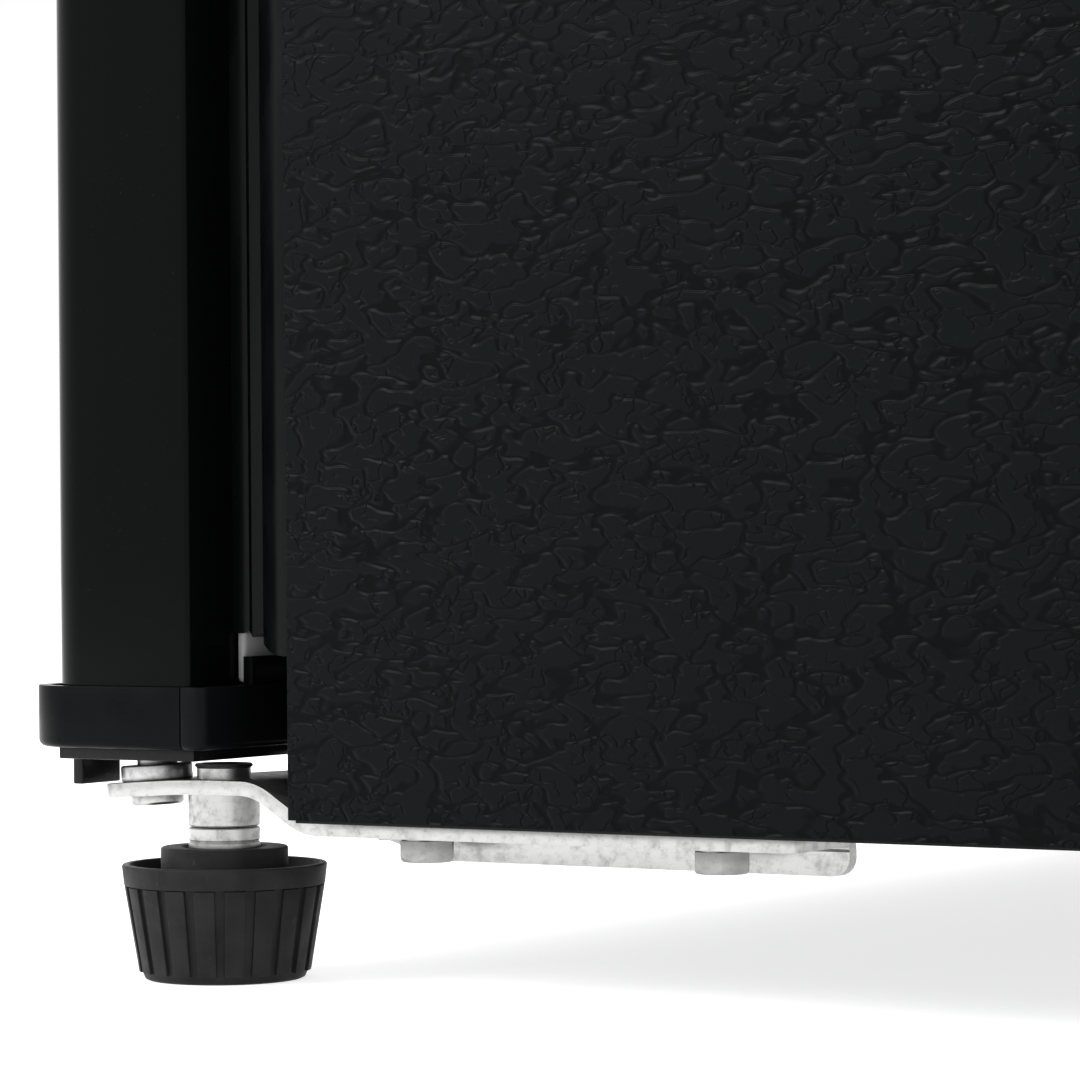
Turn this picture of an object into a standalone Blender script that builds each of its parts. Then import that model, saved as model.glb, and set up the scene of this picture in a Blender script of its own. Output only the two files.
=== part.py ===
"""Compact refrigerator with one side-hinged door, built as an assembly.

Units are metres, +Z is up and the door faces -Y.  The origin is the centre of
the overall footprint, on the floor.  The door hinges on the right-hand side
(+X).  Every sub-part is one named object with its own material.
"""
import math

import bmesh
import bpy
from mathutils import Vector

# ---------------------------------------------------------------- clearances
FIT = 0.0003                 # gap between pieces that touch
BORE_CLEARANCE = 0.0003      # radial gap of a pin or screw in its hole
RUN_CLEARANCE = 0.0006       # gap beside a piece that slides

# ------------------------------------------------------------------- cabinet
CABINET_WIDTH = 0.443
CABINET_DEPTH = 0.375
CABINET_HEIGHT = 0.4588
GROUND_CLEARANCE = 0.0332    # lower edge of the side panels above the floor
SHEET = 0.0008               # painted steel sheet
WRAPPER_CORNER = 0.006       # radius of the two upper edges
FRONT_FLANGE = 0.033         # steel rim that the magnetic gasket seals on
REAR_FLANGE = 0.014
BASE_DROP = 0.0006           # base panel below the side panels' lower edge
SIDE_WALL = 0.036
TOP_WALL = 0.042
BOTTOM_WALL = 0.052
BACK_WALL = 0.045
LINER_WALL = 0.002
LINER_LIP = 0.008            # liner rim behind the steel rim
BAY_DEPTH = 0.150            # compressor bay at the lower rear
BAY_HEIGHT = 0.150
BAY_WALL = 0.038             # foam over and in front of the compressor bay
SHELF_RIB_LENGTH = 0.190
SHELF_RIB_WIDTH = 0.006
SHELF_RIB_HEIGHT = 0.005

# ---------------------------------------------------------------------- door
DOOR_GAP = 0.0245            # door shell's rear edge in front of the cabinet
DOOR_SHELL_DEPTH = 0.0365
DOOR_SIDE_INSET = 0.002      # door shell inside the cabinet's side face
DOOR_CORNER = 0.015          # radius of the two upright front edges
DOOR_SHEET = 0.001
DOOR_RETURN = 0.012          # return of the door skin behind the door
CAP_PROUD_SIDE = 0.003       # moulded end caps outside the door's side
CAP_PROUD_FRONT = 0.005
CAP_PROUD_REAR = 0.0055
CAP_HEIGHT = 0.0122
CAP_PLATE = 0.003
CAP_EDGE = 0.0015            # bevel on the caps' outer edges
CAP_BOTTOM = 0.046           # underside of the lower cap above the floor
CAP_TOP_DROP = 0.002         # top of the upper cap below the cabinet's top
PLUG_CLEARANCE = 0.0045      # door liner's plug inside the cabinet's mouth
PLUG_REACH = 0.015           # plug past the cabinet's front face
DIKE_REACH = 0.060           # ribs that carry the door bins
DIKE_WIDTH = 0.006
DOOR_LINER_WALL = 0.002
GASKET_WIDTH = 0.0215
GASKET_EDGE = 0.012          # widest outer edge inside the cabinet's side face
GASKET_LIP = 0.005           # how much narrower the sealing face is
GASKET_BULGE = (0.3, 0.2, 0.5, 0.88)  # share of the lip, then of the depth at three stations
GASKET_SEAL_GAP = 0.0005
GASKET_BOTTOM = 0.064        # lower outer edge above the floor
GASKET_TOP_DROP = 0.018      # upper outer edge below the cabinet's top
BIN_LEFT = -0.150
BIN_RIGHT = 0.160
BIN_DEPTH = 0.082
BIN_HEIGHT = 0.060
BIN_WALL = 0.002
BIN_HEIGHTS = {"door_bin_lower": 0.098, "door_bin_upper": 0.246}

# -------------------------------------------------------------- handle recess
HANDLE_LEFT = 0.022          # recess from the door's free side
HANDLE_LENGTH = 0.110
HANDLE_WIDTH = 0.024
HANDLE_DEPTH = 0.024
HANDLE_WALL = 0.002

# --------------------------------------------------------------- lower hinge
PIVOT_INSET = 0.020          # hinge axis inside the cabinet's side face
PIVOT_FORWARD = 0.046        # hinge axis in front of the cabinet
BRACKET_THICKNESS = 0.0028
BRACKET_TIP_RADIUS = 0.010   # rounded end around the pivot
BRACKET_FAR_EDGE = 0.0345    # inner edge of the lower arm, from the side face
BRACKET_EAR_EDGE = 0.052     # inner edge of the raised ear
BRACKET_REAR = 0.104         # rear end behind the cabinet's front
JOGGLE_LOW = -0.0034         # lower bend, from the cabinet's front
JOGGLE_HIGH = -0.0151        # upper bend
JOGGLE_RISE = 0.0073
EAR_BEND = -0.032            # where the ear starts to dip
EAR_DROOP = 0.0016           # dip of the ear at its tip
FLANGE_DEPTH = 0.0085        # stiffening flange, from the arm's top face
FLANGE_START = -0.002
FLANGE_CORNER = 0.004
BOLT_PLACES = (0.0187, 0.0837)
BOLT_INSET = 0.020
BOLT_FLATS = 0.010
BOLT_HEAD = 0.004
BOLT_RADIUS = 0.003
BOLT_LENGTH = 0.012
PIN_RADIUS = 0.004
PIN_HEAD_RADIUS = 0.0052
PIN_HEAD = 0.0015
PIN_REACH = 0.010            # pin inside the door cap
BUSH_RECESS = 0.0003         # door bush inside the cap's outer face
WASHER_RADIUS = 0.00715
WASHER_HEIGHT = 0.003
DOOR_BUSH_RADIUS = 0.0062
STOP_PLATE_THICKNESS = 0.0024
STOP_PLATE_FRONT = 0.0155    # front face of the stop tab, from the hinge axis
STOP_PLATE_REAR = 0.018      # rear edge, behind the hinge axis
STOP_PLATE_OUTER = 0.012     # outer edge, outside the hinge axis
STOP_PLATE_INNER = 0.030     # inner edge, inside the hinge axis
STOP_TAB_OUTER = 0.0075
STOP_TAB_INNER = 0.005
STOP_TAB_BOTTOM = 0.0380     # lower edge of the tab above the floor

# --------------------------------------------------------------- upper hinge
TOP_PLATE_LENGTH = 0.070     # on the cabinet's top, behind its front
TOP_PLATE_WIDTH = 0.036
TOP_SCREW_RADIUS = 0.002
TOP_SCREW_HEAD_RADIUS = 0.0042
TOP_SCREW_HEAD = 0.002
TOP_SCREW_LENGTH = 0.010
TOP_SCREW_PLACES = (0.020, 0.052)
TOP_SCREW_INSET = 0.0045     # screws inside the hinge axis
DOMED_EDGE = 0.8             # where a domed head's edge ends, as a share
COVER_HEIGHT = 0.011
COVER_WALL = 0.0018
COVER_MARGIN = 0.004

# ---------------------------------------------------------------------- feet
FOOT_INSET = 0.020           # front feet inside the side face
FOOT_FORWARD = 0.0295        # front feet in front of the cabinet
FOOT_BASE_RADIUS = 0.0161
FOOT_RIM_RADIUS = 0.0203
FOOT_RIM_HEIGHT = 0.0228
FOOT_RIM_WALL = 0.0016
FOOT_EDGE = 0.001
FOOT_WELL = 0.015            # floor of the hollow inside the rim
FOOT_COLLAR_RADIUS = 0.0126
FOOT_COLLAR_HEIGHT = 0.0261
FOOT_SOCKET_FLOOR = 0.022    # where the stud's shoulder rests in the collar
FOOT_SOCKET_BOTTOM = 0.008
FOOT_SHOULDER_RADIUS = 0.0071
FOOT_SHOULDER_TOP = 0.0299
STUD_RADIUS = 0.0039
STUD_TOP = 0.0410
BUSH_NECK_RADIUS = 0.00535   # end of the bush riveted over above the plate
BUSH_NECK_TOP = 0.0029
REAR_FOOT_RADIUS = 0.015
REAR_FOOT_TOP_RADIUS = 0.012
REAR_FOOT_INSET = 0.040
REAR_FOOT_FORWARD = 0.030    # rear feet in front of the cabinet's back

# ------------------------------------------------------------------ interior
SHELF_LIFT = 0.0042          # shelf above the liner's step over the bay
SHELF_THICKNESS = 0.004
SHELF_FRONT = 0.118          # front of the shelf's trim behind the front face
SHELF_TRIM_DEPTH = 0.010
SHELF_TRIM_HEIGHT = 0.009
SHELF_BACK_GAP = 0.004
CHILLER_LEFT = -0.165
CHILLER_RIGHT = 0.060
CHILLER_FRONT = 0.125        # behind the cabinet's front face
CHILLER_DEPTH = 0.190
CHILLER_HEIGHT = 0.092
CHILLER_WALL = 0.0015
HANGER_HEIGHT = 0.010        # between the chiller and the ceiling
HANGER_MARGIN = 0.030
FLAP_THICKNESS = 0.003
TRAY_HEIGHT = 0.018
TRAY_WALL = 0.0018
TRAY_FRAME_WALL = 0.002
TRAY_FRAME_GRIP = 0.006      # ledge under the tray's sides
THERMOSTAT_WIDTH = 0.070
THERMOSTAT_DEPTH = 0.060
THERMOSTAT_HEIGHT = 0.048
THERMOSTAT_FRONT = 0.135
THERMOSTAT_INSET = 0.024     # from the liner's right-hand wall
DIAL_RADIUS = 0.015
DIAL_LENGTH = 0.012
DIAL_SHAFT_RADIUS = 0.003
DIAL_SHAFT_LENGTH = 0.010
DIAL_POINTER = 0.0025
DIAL_FACE_RADIUS = 0.0129
DIAL_EDGE_RADIUS = 0.0135
DIAL_POINTER_REACH = 0.012

# ------------------------------------------------------- cooling circuit, rear
CONDENSER_REACH = 0.027      # condenser's rearmost point behind the cabinet
CONDENSER_TUBE = 0.0024
CONDENSER_HALF_WIDTH = 0.165
CONDENSER_PASSES = 9
CONDENSER_PITCH = 0.030
CONDENSER_TOP_DROP = 0.030
STRAP_WIDTH = 0.014
STRAP_THICKNESS = 0.0012
STRAP_FOOT = 0.016
STRAP_OFFSET = 0.110
COMPRESSOR_X = 0.020
COMPRESSOR_RADIUS_X = 0.068
COMPRESSOR_RADIUS_Y = 0.050
COMPRESSOR_HEIGHT = 0.104
COMPRESSOR_SEAM = 0.058      # weld seam above the shell's underside
COMPRESSOR_SEAM_PROUD = 0.004
COMPRESSOR_FROM_BACK = 0.072
COMPRESSOR_BOWL = ((0.72, 0.0), (0.90, 0.12), (1.0, 0.45))  # share of the radii, share of the seam's height
COMPRESSOR_DOME = (0, 20, 40, 58, 74)  # angles of the upper shell's stations
MOUNT_HALF_LENGTH = 0.084
MOUNT_HALF_WIDTH = 0.046
MOUNT_THICKNESS = 0.0028
MOUNT_FOOT_RADIUS = 0.008
MOUNT_FOOT_WAIST = 0.006
MOUNT_FOOT_HEIGHT = 0.009
MOUNT_FOOT_MARGIN = 0.011
TRAY_PLATE = 0.0015          # compressor tray sheet
TRAY_FLANGE = 0.012
PAN_HALF_LENGTH = 0.060
PAN_HALF_WIDTH = 0.045
PAN_HEIGHT = 0.014
PAN_WALL = 0.0015
TERMINAL_SIZE = (0.030, 0.048, 0.046)
TERMINAL_BEVEL = 0.006
INLET_RADIUS = 0.009
INLET_LENGTH = 0.012
INLET_BORE = 0.0042
INLET_NECK_RADII = (0.00675, 0.00585)  # behind the flange, at the end
DRIER_RADIUS = 0.009
DRIER_LENGTH = 0.075
DRIER_NECK = 0.0039
DRIER_NECK_LENGTH = 0.0075
DRIER_TAPER_LENGTH = 0.009
PIPE_RADIUS = 0.003
BEND_RADIUS = 0.012

# ------------------------------------------------------------ drawing quality
ROUND = 28                   # sides of a turned piece
SMALL_ROUND = 16             # sides of a small turned piece
CORNER_STEPS = 5             # facets of a rounded corner
PIPE_SIDES = 8
SMOOTH_ANGLE = math.radians(35)

# ------------------------------------------------------------- derived places
SIDE = CABINET_WIDTH / 2
DOOR_REACH = DOOR_GAP + DOOR_SHELL_DEPTH + CAP_PROUD_FRONT
FRONT = (DOOR_REACH - CABINET_DEPTH - CONDENSER_REACH) / 2
BACK = FRONT + CABINET_DEPTH
BOTTOM = GROUND_CLEARANCE
TOP = BOTTOM + CABINET_HEIGHT
BASE_UNDERSIDE = BOTTOM - BASE_DROP
BAY_FRONT = BACK - BAY_DEPTH
BAY_TOP = BOTTOM + BAY_HEIGHT

INNER_SIDE = SIDE - SIDE_WALL            # liner, outer surface
INNER_TOP = TOP - TOP_WALL
INNER_BOTTOM = BOTTOM + BOTTOM_WALL
INNER_BACK = BACK - BACK_WALL
STEP_FRONT = BAY_FRONT - BAY_WALL
STEP_TOP = BAY_TOP + BAY_WALL
ROOM_SIDE = INNER_SIDE - LINER_WALL      # liner, inner surface
ROOM_TOP = INNER_TOP - LINER_WALL
ROOM_BOTTOM = INNER_BOTTOM + LINER_WALL
ROOM_BACK = INNER_BACK - LINER_WALL
ROOM_STEP = STEP_TOP + LINER_WALL

PIVOT_X = SIDE - PIVOT_INSET
PIVOT_Y = FRONT - PIVOT_FORWARD
ARM_TOP = BASE_UNDERSIDE - FIT
ARM_UNDERSIDE = ARM_TOP - BRACKET_THICKNESS
EAR_TOP = ARM_TOP + JOGGLE_RISE
EAR_UNDERSIDE = EAR_TOP - BRACKET_THICKNESS
WASHER_BOTTOM = EAR_TOP + FIT
WASHER_TOP = WASHER_BOTTOM + WASHER_HEIGHT

DOOR_SIDE = SIDE - DOOR_SIDE_INSET
DOOR_REAR = FRONT - DOOR_GAP
DOOR_FRONT = DOOR_REAR - DOOR_SHELL_DEPTH
CAP_TOP = TOP - CAP_TOP_DROP
SKIN_BOTTOM = CAP_BOTTOM + CAP_PLATE + FIT
SKIN_TOP = CAP_TOP - CAP_PLATE - FIT
PLUG_SIDE = ROOM_SIDE - PLUG_CLEARANCE
PLUG_BOTTOM = ROOM_BOTTOM + PLUG_CLEARANCE
PLUG_TOP = ROOM_TOP - PLUG_CLEARANCE
PLUG_BACK = FRONT + PLUG_REACH
GASKET_TOP = TOP - GASKET_TOP_DROP
FOOT_X = SIDE - FOOT_INSET
FOOT_Y = FRONT - FOOT_FORWARD
CONDENSER_Y = BACK + CONDENSER_REACH - CONDENSER_TUBE


# ------------------------------------------------------------------ materials
def material(name, colour, roughness, metallic=0.0):
    """Return a Principled material with one colour."""
    made = bpy.data.materials.new(name)
    made.use_nodes = True
    shader = made.node_tree.nodes["Principled BSDF"]
    shader.inputs["Base Color"].default_value = (*colour, 1.0)
    shader.inputs["Roughness"].default_value = roughness
    shader.inputs["Metallic"].default_value = metallic
    return made


def make_materials():
    """Create every material of the refrigerator, by name."""
    return {
        "embossed_steel": material("embossed_steel", (0.012, 0.014, 0.015), 0.42),
        "gloss_black": material("gloss_black", (0.006, 0.006, 0.008), 0.12),
        "moulded_black": material("moulded_black", (0.016, 0.017, 0.018), 0.45),
        "gasket_black": material("gasket_black", (0.008, 0.008, 0.009), 0.22),
        "foot_black": material("foot_black", (0.040, 0.040, 0.040), 0.62),
        "zinc": material("zinc", (0.72, 0.72, 0.71), 0.34, 1.0),
        "galvanised": material("galvanised", (0.55, 0.56, 0.57), 0.45, 1.0),
        "liner_white": material("liner_white", (0.80, 0.81, 0.80), 0.35),
        "clear_shelf": material("clear_shelf", (0.70, 0.78, 0.76), 0.08),
        "aluminium": material("aluminium", (0.78, 0.79, 0.80), 0.38, 1.0),
        "foam": material("foam", (0.72, 0.62, 0.35), 0.90),
        "compressor_black": material("compressor_black", (0.012, 0.012, 0.013), 0.38),
        "copper": material("copper", (0.72, 0.40, 0.26), 0.34, 1.0),
        "rear_black": material("rear_black", (0.015, 0.015, 0.016), 0.50),
    }


# -------------------------------------------------------------- mesh building
def finish(name, mesh, look, origin=(0.0, 0.0, 0.0)):
    """Turn a bmesh into a named object whose origin is at the given point."""
    bmesh.ops.remove_doubles(mesh, verts=mesh.verts, dist=1e-7)
    bmesh.ops.recalc_face_normals(mesh, faces=mesh.faces)
    bmesh.ops.translate(mesh, verts=mesh.verts, vec=-Vector(origin))
    data = bpy.data.meshes.new(name)
    mesh.to_mesh(data)
    mesh.free()
    data.shade_smooth()
    data.set_sharp_from_angle(angle=SMOOTH_ANGLE)
    data.materials.append(look)
    made = bpy.data.objects.new(name, data)
    made.location = origin
    bpy.context.collection.objects.link(made)
    return made


def loft(mesh, loops):
    """Join closed loops of equal length into a solid with flat ends."""
    rings = [[mesh.verts.new(point) for point in loop] for loop in loops]
    count = len(rings[0])
    for lower, upper in zip(rings, rings[1:]):
        for i in range(count):
            j = (i + 1) % count
            mesh.faces.new((lower[i], lower[j], upper[j], upper[i]))
    mesh.faces.new(rings[0])
    mesh.faces.new(rings[-1])


def ring_loft(mesh, loops):
    """Join closed loops into a solid ring whose last loop meets the first."""
    rings = [[mesh.verts.new(point) for point in loop] for loop in loops]
    count = len(rings[0])
    for lower, upper in zip(rings, rings[1:] + rings[:1]):
        for i in range(count):
            j = (i + 1) % count
            mesh.faces.new((lower[i], lower[j], upper[j], upper[i]))


def block(mesh, low, high):
    """Add a box between two opposite corners."""
    x0, y0, z0 = low
    x1, y1, z1 = high
    loft(mesh, [[(x0, y0, z), (x1, y0, z), (x1, y1, z), (x0, y1, z)] for z in (z0, z1)])


def prism(mesh, outline, axis, low, high):
    """Extrude an outline along an axis; the outline gives the other two axes."""
    def point(a, b, c):
        return {"x": (c, a, b), "y": (a, c, b), "z": (a, b, c)}[axis]
    loft(mesh, [[point(a, b, c) for a, b in outline] for c in (low, high)])


def turned(mesh, profile, centre, sides=ROUND, axis="z"):
    """Turn a closed (radius, height) profile; zero radii close on the axis."""
    rings = []
    for radius, height in profile:
        ring = []
        for i in range(sides):
            angle = 2 * math.pi * i / sides
            a, b = radius * math.cos(angle), radius * math.sin(angle)
            local = {"z": (a, b, height), "y": (a, height, b), "x": (height, a, b)}[axis]
            ring.append(mesh.verts.new(Vector(local) + Vector(centre)))
            if radius == 0.0:
                ring = ring * sides
                break
        rings.append(ring)
    closed = profile[0][0] > 0.0 and profile[-1][0] > 0.0
    pairs = list(zip(rings, rings[1:]))
    if closed:
        pairs.append((rings[-1], rings[0]))
    for lower, upper in pairs:
        for i in range(sides):
            j = (i + 1) % sides
            corners = []
            for vert in (lower[i], lower[j], upper[j], upper[i]):
                if vert not in corners:
                    corners.append(vert)
            if len(corners) > 2:
                mesh.faces.new(corners)


def arc(centre, radius, start, end, steps=CORNER_STEPS):
    """Points along a circular arc, angles in degrees, both ends included."""
    points = []
    for i in range(steps + 1):
        angle = math.radians(start + (end - start) * i / steps)
        points.append((centre[0] + radius * math.cos(angle), centre[1] + radius * math.sin(angle)))
    return points


def tube(mesh, route, radius, sides=PIPE_SIDES):
    """Sweep a circle along a route of points, with flat closed ends."""
    points = [Vector(p) for p in route]
    directions = []
    for i in range(len(points)):
        before = points[max(i - 1, 0)]
        after = points[min(i + 1, len(points) - 1)]
        directions.append((after - before).normalized())
    side = directions[0].orthogonal().normalized()
    loops = []
    for point, ahead in zip(points, directions):
        side = (side - ahead * side.dot(ahead)).normalized()
        up = ahead.cross(side)
        turn = [2 * math.pi * k / sides for k in range(sides)]
        loops.append([point + side * radius * math.cos(t) + up * radius * math.sin(t) for t in turn])
    loft(mesh, loops)


def rounded_route(corners, radius, steps=4):
    """Replace each inner corner of a straight route by a smooth bend."""
    points = [Vector(corners[0])]
    for before, corner, after in zip(corners, corners[1:], corners[2:]):
        corner = Vector(corner)
        start = (Vector(before) - corner).normalized() * radius
        end = (Vector(after) - corner).normalized() * radius
        for i in range(steps + 1):
            t = i / steps
            points.append(corner + start * (1 - t) ** 2 + end * t ** 2)
    points.append(Vector(corners[-1]))
    return points


def boolean(target, operation, mesh):
    """Cut a solid from, or join it to, a target with an exact Boolean."""
    tool = finish("tool_" + target.name, mesh, target.data.materials[0])
    tool.hide_render = True
    tool.display_type = "WIRE"
    step = target.modifiers.new(operation.lower(), "BOOLEAN")
    step.operation = operation
    step.solver = "EXACT"
    step.object = tool
    return tool


def cut(target, mesh):
    """Take a solid away from the target."""
    return boolean(target, "DIFFERENCE", mesh)


def join(target, mesh):
    """Add an overlapping solid to the target."""
    return boolean(target, "UNION", mesh)


def cylinder_cutter(centre, radius, low, high, sides=SMALL_ROUND):
    """Return a bmesh cylinder along Z."""
    mesh = bmesh.new()
    turned(mesh, [(0, low), (radius, low), (radius, high), (0, high)], (centre[0], centre[1], 0), sides)
    return mesh


# -------------------------------------------------------------------- cabinet
def cabinet_wrapper(look):
    """One folded sheet: both sides, the top, and a return rim at front and rear."""
    skin = [
        (0.0, FRONT), (0.0, BACK), (REAR_FLANGE, BACK), (REAR_FLANGE, BACK - SHEET),
        (SHEET, BACK - SHEET), (SHEET, FRONT + SHEET),
        (FRONT_FLANGE, FRONT + SHEET), (FRONT_FLANGE, FRONT),
    ]
    stations = [(-SIDE, BOTTOM, 180)]
    corner = (SIDE - WRAPPER_CORNER, TOP - WRAPPER_CORNER)
    for sign, angles in ((-1, (180, 150, 120, 90)), (1, (90, 60, 30, 0))):
        for angle in angles:
            stations.append((sign * corner[0], corner[1], angle))
    stations.append((SIDE, BOTTOM, 0))
    mesh = bmesh.new()
    loops = []
    for index, (x, z, angle) in enumerate(stations):
        end = index in (0, len(stations) - 1)
        out = (math.cos(math.radians(angle)), math.sin(math.radians(angle)))
        loop = []
        for inward, y in skin:
            reach = (0.0 if end else WRAPPER_CORNER) - inward
            if not end and reach < 0:
                # the rims keep a sharp mitre inside the rounded edge
                square = (math.copysign(1, x), 1)
                loop.append((x + square[0] * reach, y, z + square[1] * reach))
            else:
                loop.append((x + out[0] * reach, y, z + out[1] * reach))
        loops.append(loop)
    loft(mesh, loops)
    return finish("cabinet_wrapper", mesh, look)


def base_panel(look):
    """Folded sheet under the cabinet, stepping up over the compressor bay."""
    z0 = BASE_UNDERSIDE
    y0 = FRONT + SHEET + FIT
    inner_side = SIDE - SHEET - FIT
    outline = [
        (y0, z0), (BAY_FRONT, z0), (BAY_FRONT, BAY_TOP), (BACK - SHEET - FIT, BAY_TOP),
        (BACK - SHEET - FIT, BAY_TOP + SHEET), (BAY_FRONT - SHEET, BAY_TOP + SHEET),
        (BAY_FRONT - SHEET, z0 + SHEET), (y0, z0 + SHEET),
    ]
    mesh = bmesh.new()
    prism(mesh, outline, "x", -inner_side, inner_side)
    panel = finish("base_panel", mesh, look)
    rim = bmesh.new()
    half = SIDE - FRONT_FLANGE - FIT
    block(rim, (-half, FRONT, z0), (half, FRONT + SHEET, BOTTOM + BOTTOM_WALL - SIDE_WALL + FRONT_FLANGE))
    foot = bmesh.new()
    block(foot, (-half, FRONT, z0), (half, y0 + SHEET, z0 + SHEET))
    join(panel, rim)
    join(panel, foot)
    return panel


def back_panel(look):
    """Flat sheet behind the foam, inside the wrapper's rear rim."""
    mesh = bmesh.new()
    y = BACK - SHEET - FIT
    side = SIDE - SHEET - FIT
    block(mesh, (-side, y - SHEET, BAY_TOP + SHEET + FIT), (side, y, TOP - WRAPPER_CORNER))
    panel = finish("back_panel", mesh, look)
    cut(panel, pipe_channel())
    return panel


def step_outline(front, back, bottom, top, step_front, step_top):
    """Outline in (y, z) of a room with the raised step over the compressor bay."""
    return [
        (front, bottom), (step_front, bottom), (step_front, step_top),
        (back, step_top), (back, top), (front, top),
    ]


def cabinet_foam(look):
    """Foamed-in-place insulation between the steel shell and the liner."""
    mesh = bmesh.new()
    side = SIDE - SHEET - FIT
    z0 = BASE_UNDERSIDE + SHEET + FIT
    back = BACK - 2 * SHEET - 2 * FIT
    outline = [
        (FRONT + SHEET + FIT, z0), (BAY_FRONT - SHEET - FIT, z0),
        (BAY_FRONT - SHEET - FIT, BAY_TOP + SHEET + FIT), (back, BAY_TOP + SHEET + FIT),
        (back, TOP - WRAPPER_CORNER), (FRONT + SHEET + FIT, TOP - WRAPPER_CORNER),
    ]
    prism(mesh, outline, "x", -side, side)
    foam = finish("cabinet_foam", mesh, look)
    room = bmesh.new()
    prism(room, step_outline(FRONT - FIT, INNER_BACK + FIT, INNER_BOTTOM - FIT, INNER_TOP + FIT,
                             STEP_FRONT + FIT, STEP_TOP - FIT), "x", -INNER_SIDE - FIT, INNER_SIDE + FIT)
    cut(foam, room)
    lip = bmesh.new()
    reach = LINER_LIP + FIT
    block(lip, (-INNER_SIDE - reach, FRONT, INNER_BOTTOM - reach),
          (INNER_SIDE + reach, FRONT + SHEET + LINER_WALL + 2 * FIT, INNER_TOP + reach))
    cut(foam, lip)
    cut(foam, pipe_channel())
    return foam


def pipe_channel():
    """Channel through the rear wall for the suction pipe."""
    mesh = bmesh.new()
    x, z = suction_entry()
    bore = PIPE_RADIUS + FIT
    front = ROOM_BACK - LINER_WALL
    turned(mesh, [(0, front), (bore, front), (bore, BACK), (0, BACK)], (x, 0, z), PIPE_SIDES, axis="y")
    return mesh


def suction_entry():
    """Where the suction pipe passes the rear wall, in (x, z)."""
    x = (CHILLER_LEFT + CHILLER_RIGHT) / 2
    z = ROOM_TOP - HANGER_HEIGHT - FIT - CHILLER_HEIGHT / 2
    return x, z


def inner_liner(look):
    """White lining of the cabinet, with its front rim and two shelf ribs."""
    mesh = bmesh.new()
    y0 = FRONT + SHEET + FIT
    prism(mesh, step_outline(y0, INNER_BACK, INNER_BOTTOM, INNER_TOP, STEP_FRONT, STEP_TOP),
          "x", -INNER_SIDE, INNER_SIDE)
    liner = finish("inner_liner", mesh, look)
    lip = bmesh.new()
    block(lip, (-INNER_SIDE - LINER_LIP, y0, INNER_BOTTOM - LINER_LIP),
          (INNER_SIDE + LINER_LIP, y0 + LINER_WALL, INNER_TOP + LINER_LIP))
    join(liner, lip)
    room = bmesh.new()
    prism(room, step_outline(FRONT - SHEET, ROOM_BACK, ROOM_BOTTOM, ROOM_TOP,
                             STEP_FRONT - LINER_WALL, ROOM_STEP), "x", -ROOM_SIDE, ROOM_SIDE)
    cut(liner, room)
    for sign in (-1, 1):
        rib = bmesh.new()
        top = ROOM_STEP + SHELF_LIFT - FIT
        xs = sorted((sign * (ROOM_SIDE - SHELF_RIB_WIDTH), sign * (ROOM_SIDE + LINER_WALL / 2)))
        back = ROOM_BACK - SHELF_BACK_GAP
        block(rib, (xs[0], back - SHELF_RIB_LENGTH, top - SHELF_RIB_HEIGHT), (xs[1], back, top))
        join(liner, rib)
    cut(liner, pipe_channel())
    return liner


# ----------------------------------------------------------------------- door
def door_plan(side, front, rear, corner):
    """Plan outline of the door: square at the rear, rounded at the front."""
    right = arc((side - corner, front + corner), corner, 0, -90)
    left = arc((-side + corner, front + corner), corner, -90, -180)
    return [(side, rear)] + right + left + [(-side, rear)]


def level(outline, z):
    """Lift a plan outline to a height."""
    return [(x, y, z) for x, y in outline]


def door_skin(look):
    """Folded steel shell: front, both sides and a narrow return at the rear."""
    outer = door_plan(DOOR_SIDE, DOOR_FRONT, DOOR_REAR, DOOR_CORNER)
    inset = DOOR_SHEET
    inner = door_plan(DOOR_SIDE - inset, DOOR_FRONT + inset, DOOR_REAR - inset, DOOR_CORNER - inset)
    end = DOOR_SIDE - DOOR_RETURN
    outline = [(end, DOOR_REAR)] + outer + [(-end, DOOR_REAR), (-end, DOOR_REAR - inset)]
    outline += list(reversed(inner)) + [(end, DOOR_REAR - inset)]
    mesh = bmesh.new()
    loft(mesh, [level(outline, SKIN_BOTTOM), level(outline, SKIN_TOP)])
    return finish("door_skin", mesh, look)


def door_cap(name, look, outer_z, inward):
    """Moulded tray over one end of the door; inward is +1 for the lower cap."""
    side = DOOR_SIDE + CAP_PROUD_SIDE
    front = DOOR_FRONT - CAP_PROUD_FRONT
    rear = DOOR_REAR + CAP_PROUD_REAR
    corner = DOOR_CORNER + CAP_PROUD_SIDE
    full = door_plan(side, front, rear, corner)
    small = door_plan(side - CAP_EDGE, front + CAP_EDGE, rear - CAP_EDGE, corner - CAP_EDGE)
    hollow = door_plan(DOOR_SIDE + FIT, DOOR_FRONT - FIT, DOOR_REAR + FIT, DOOR_CORNER + FIT)
    rim = CAP_HEIGHT
    loops = [level(small, outer_z), level(full, outer_z + inward * CAP_EDGE)]
    loops += [level(full, outer_z + inward * (rim - CAP_EDGE)), level(small, outer_z + inward * rim)]
    loops += [level(hollow, outer_z + inward * rim), level(hollow, outer_z + inward * CAP_PLATE)]
    mesh = bmesh.new()
    loft(mesh, loops)
    cap = finish(name, mesh, look)
    low, high = sorted((outer_z - inward * CAP_PLATE, outer_z + inward * 2 * CAP_PLATE))
    cut(cap, cylinder_cutter((PIVOT_X, PIVOT_Y), DOOR_BUSH_RADIUS + FIT, low, high))
    return cap


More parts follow.
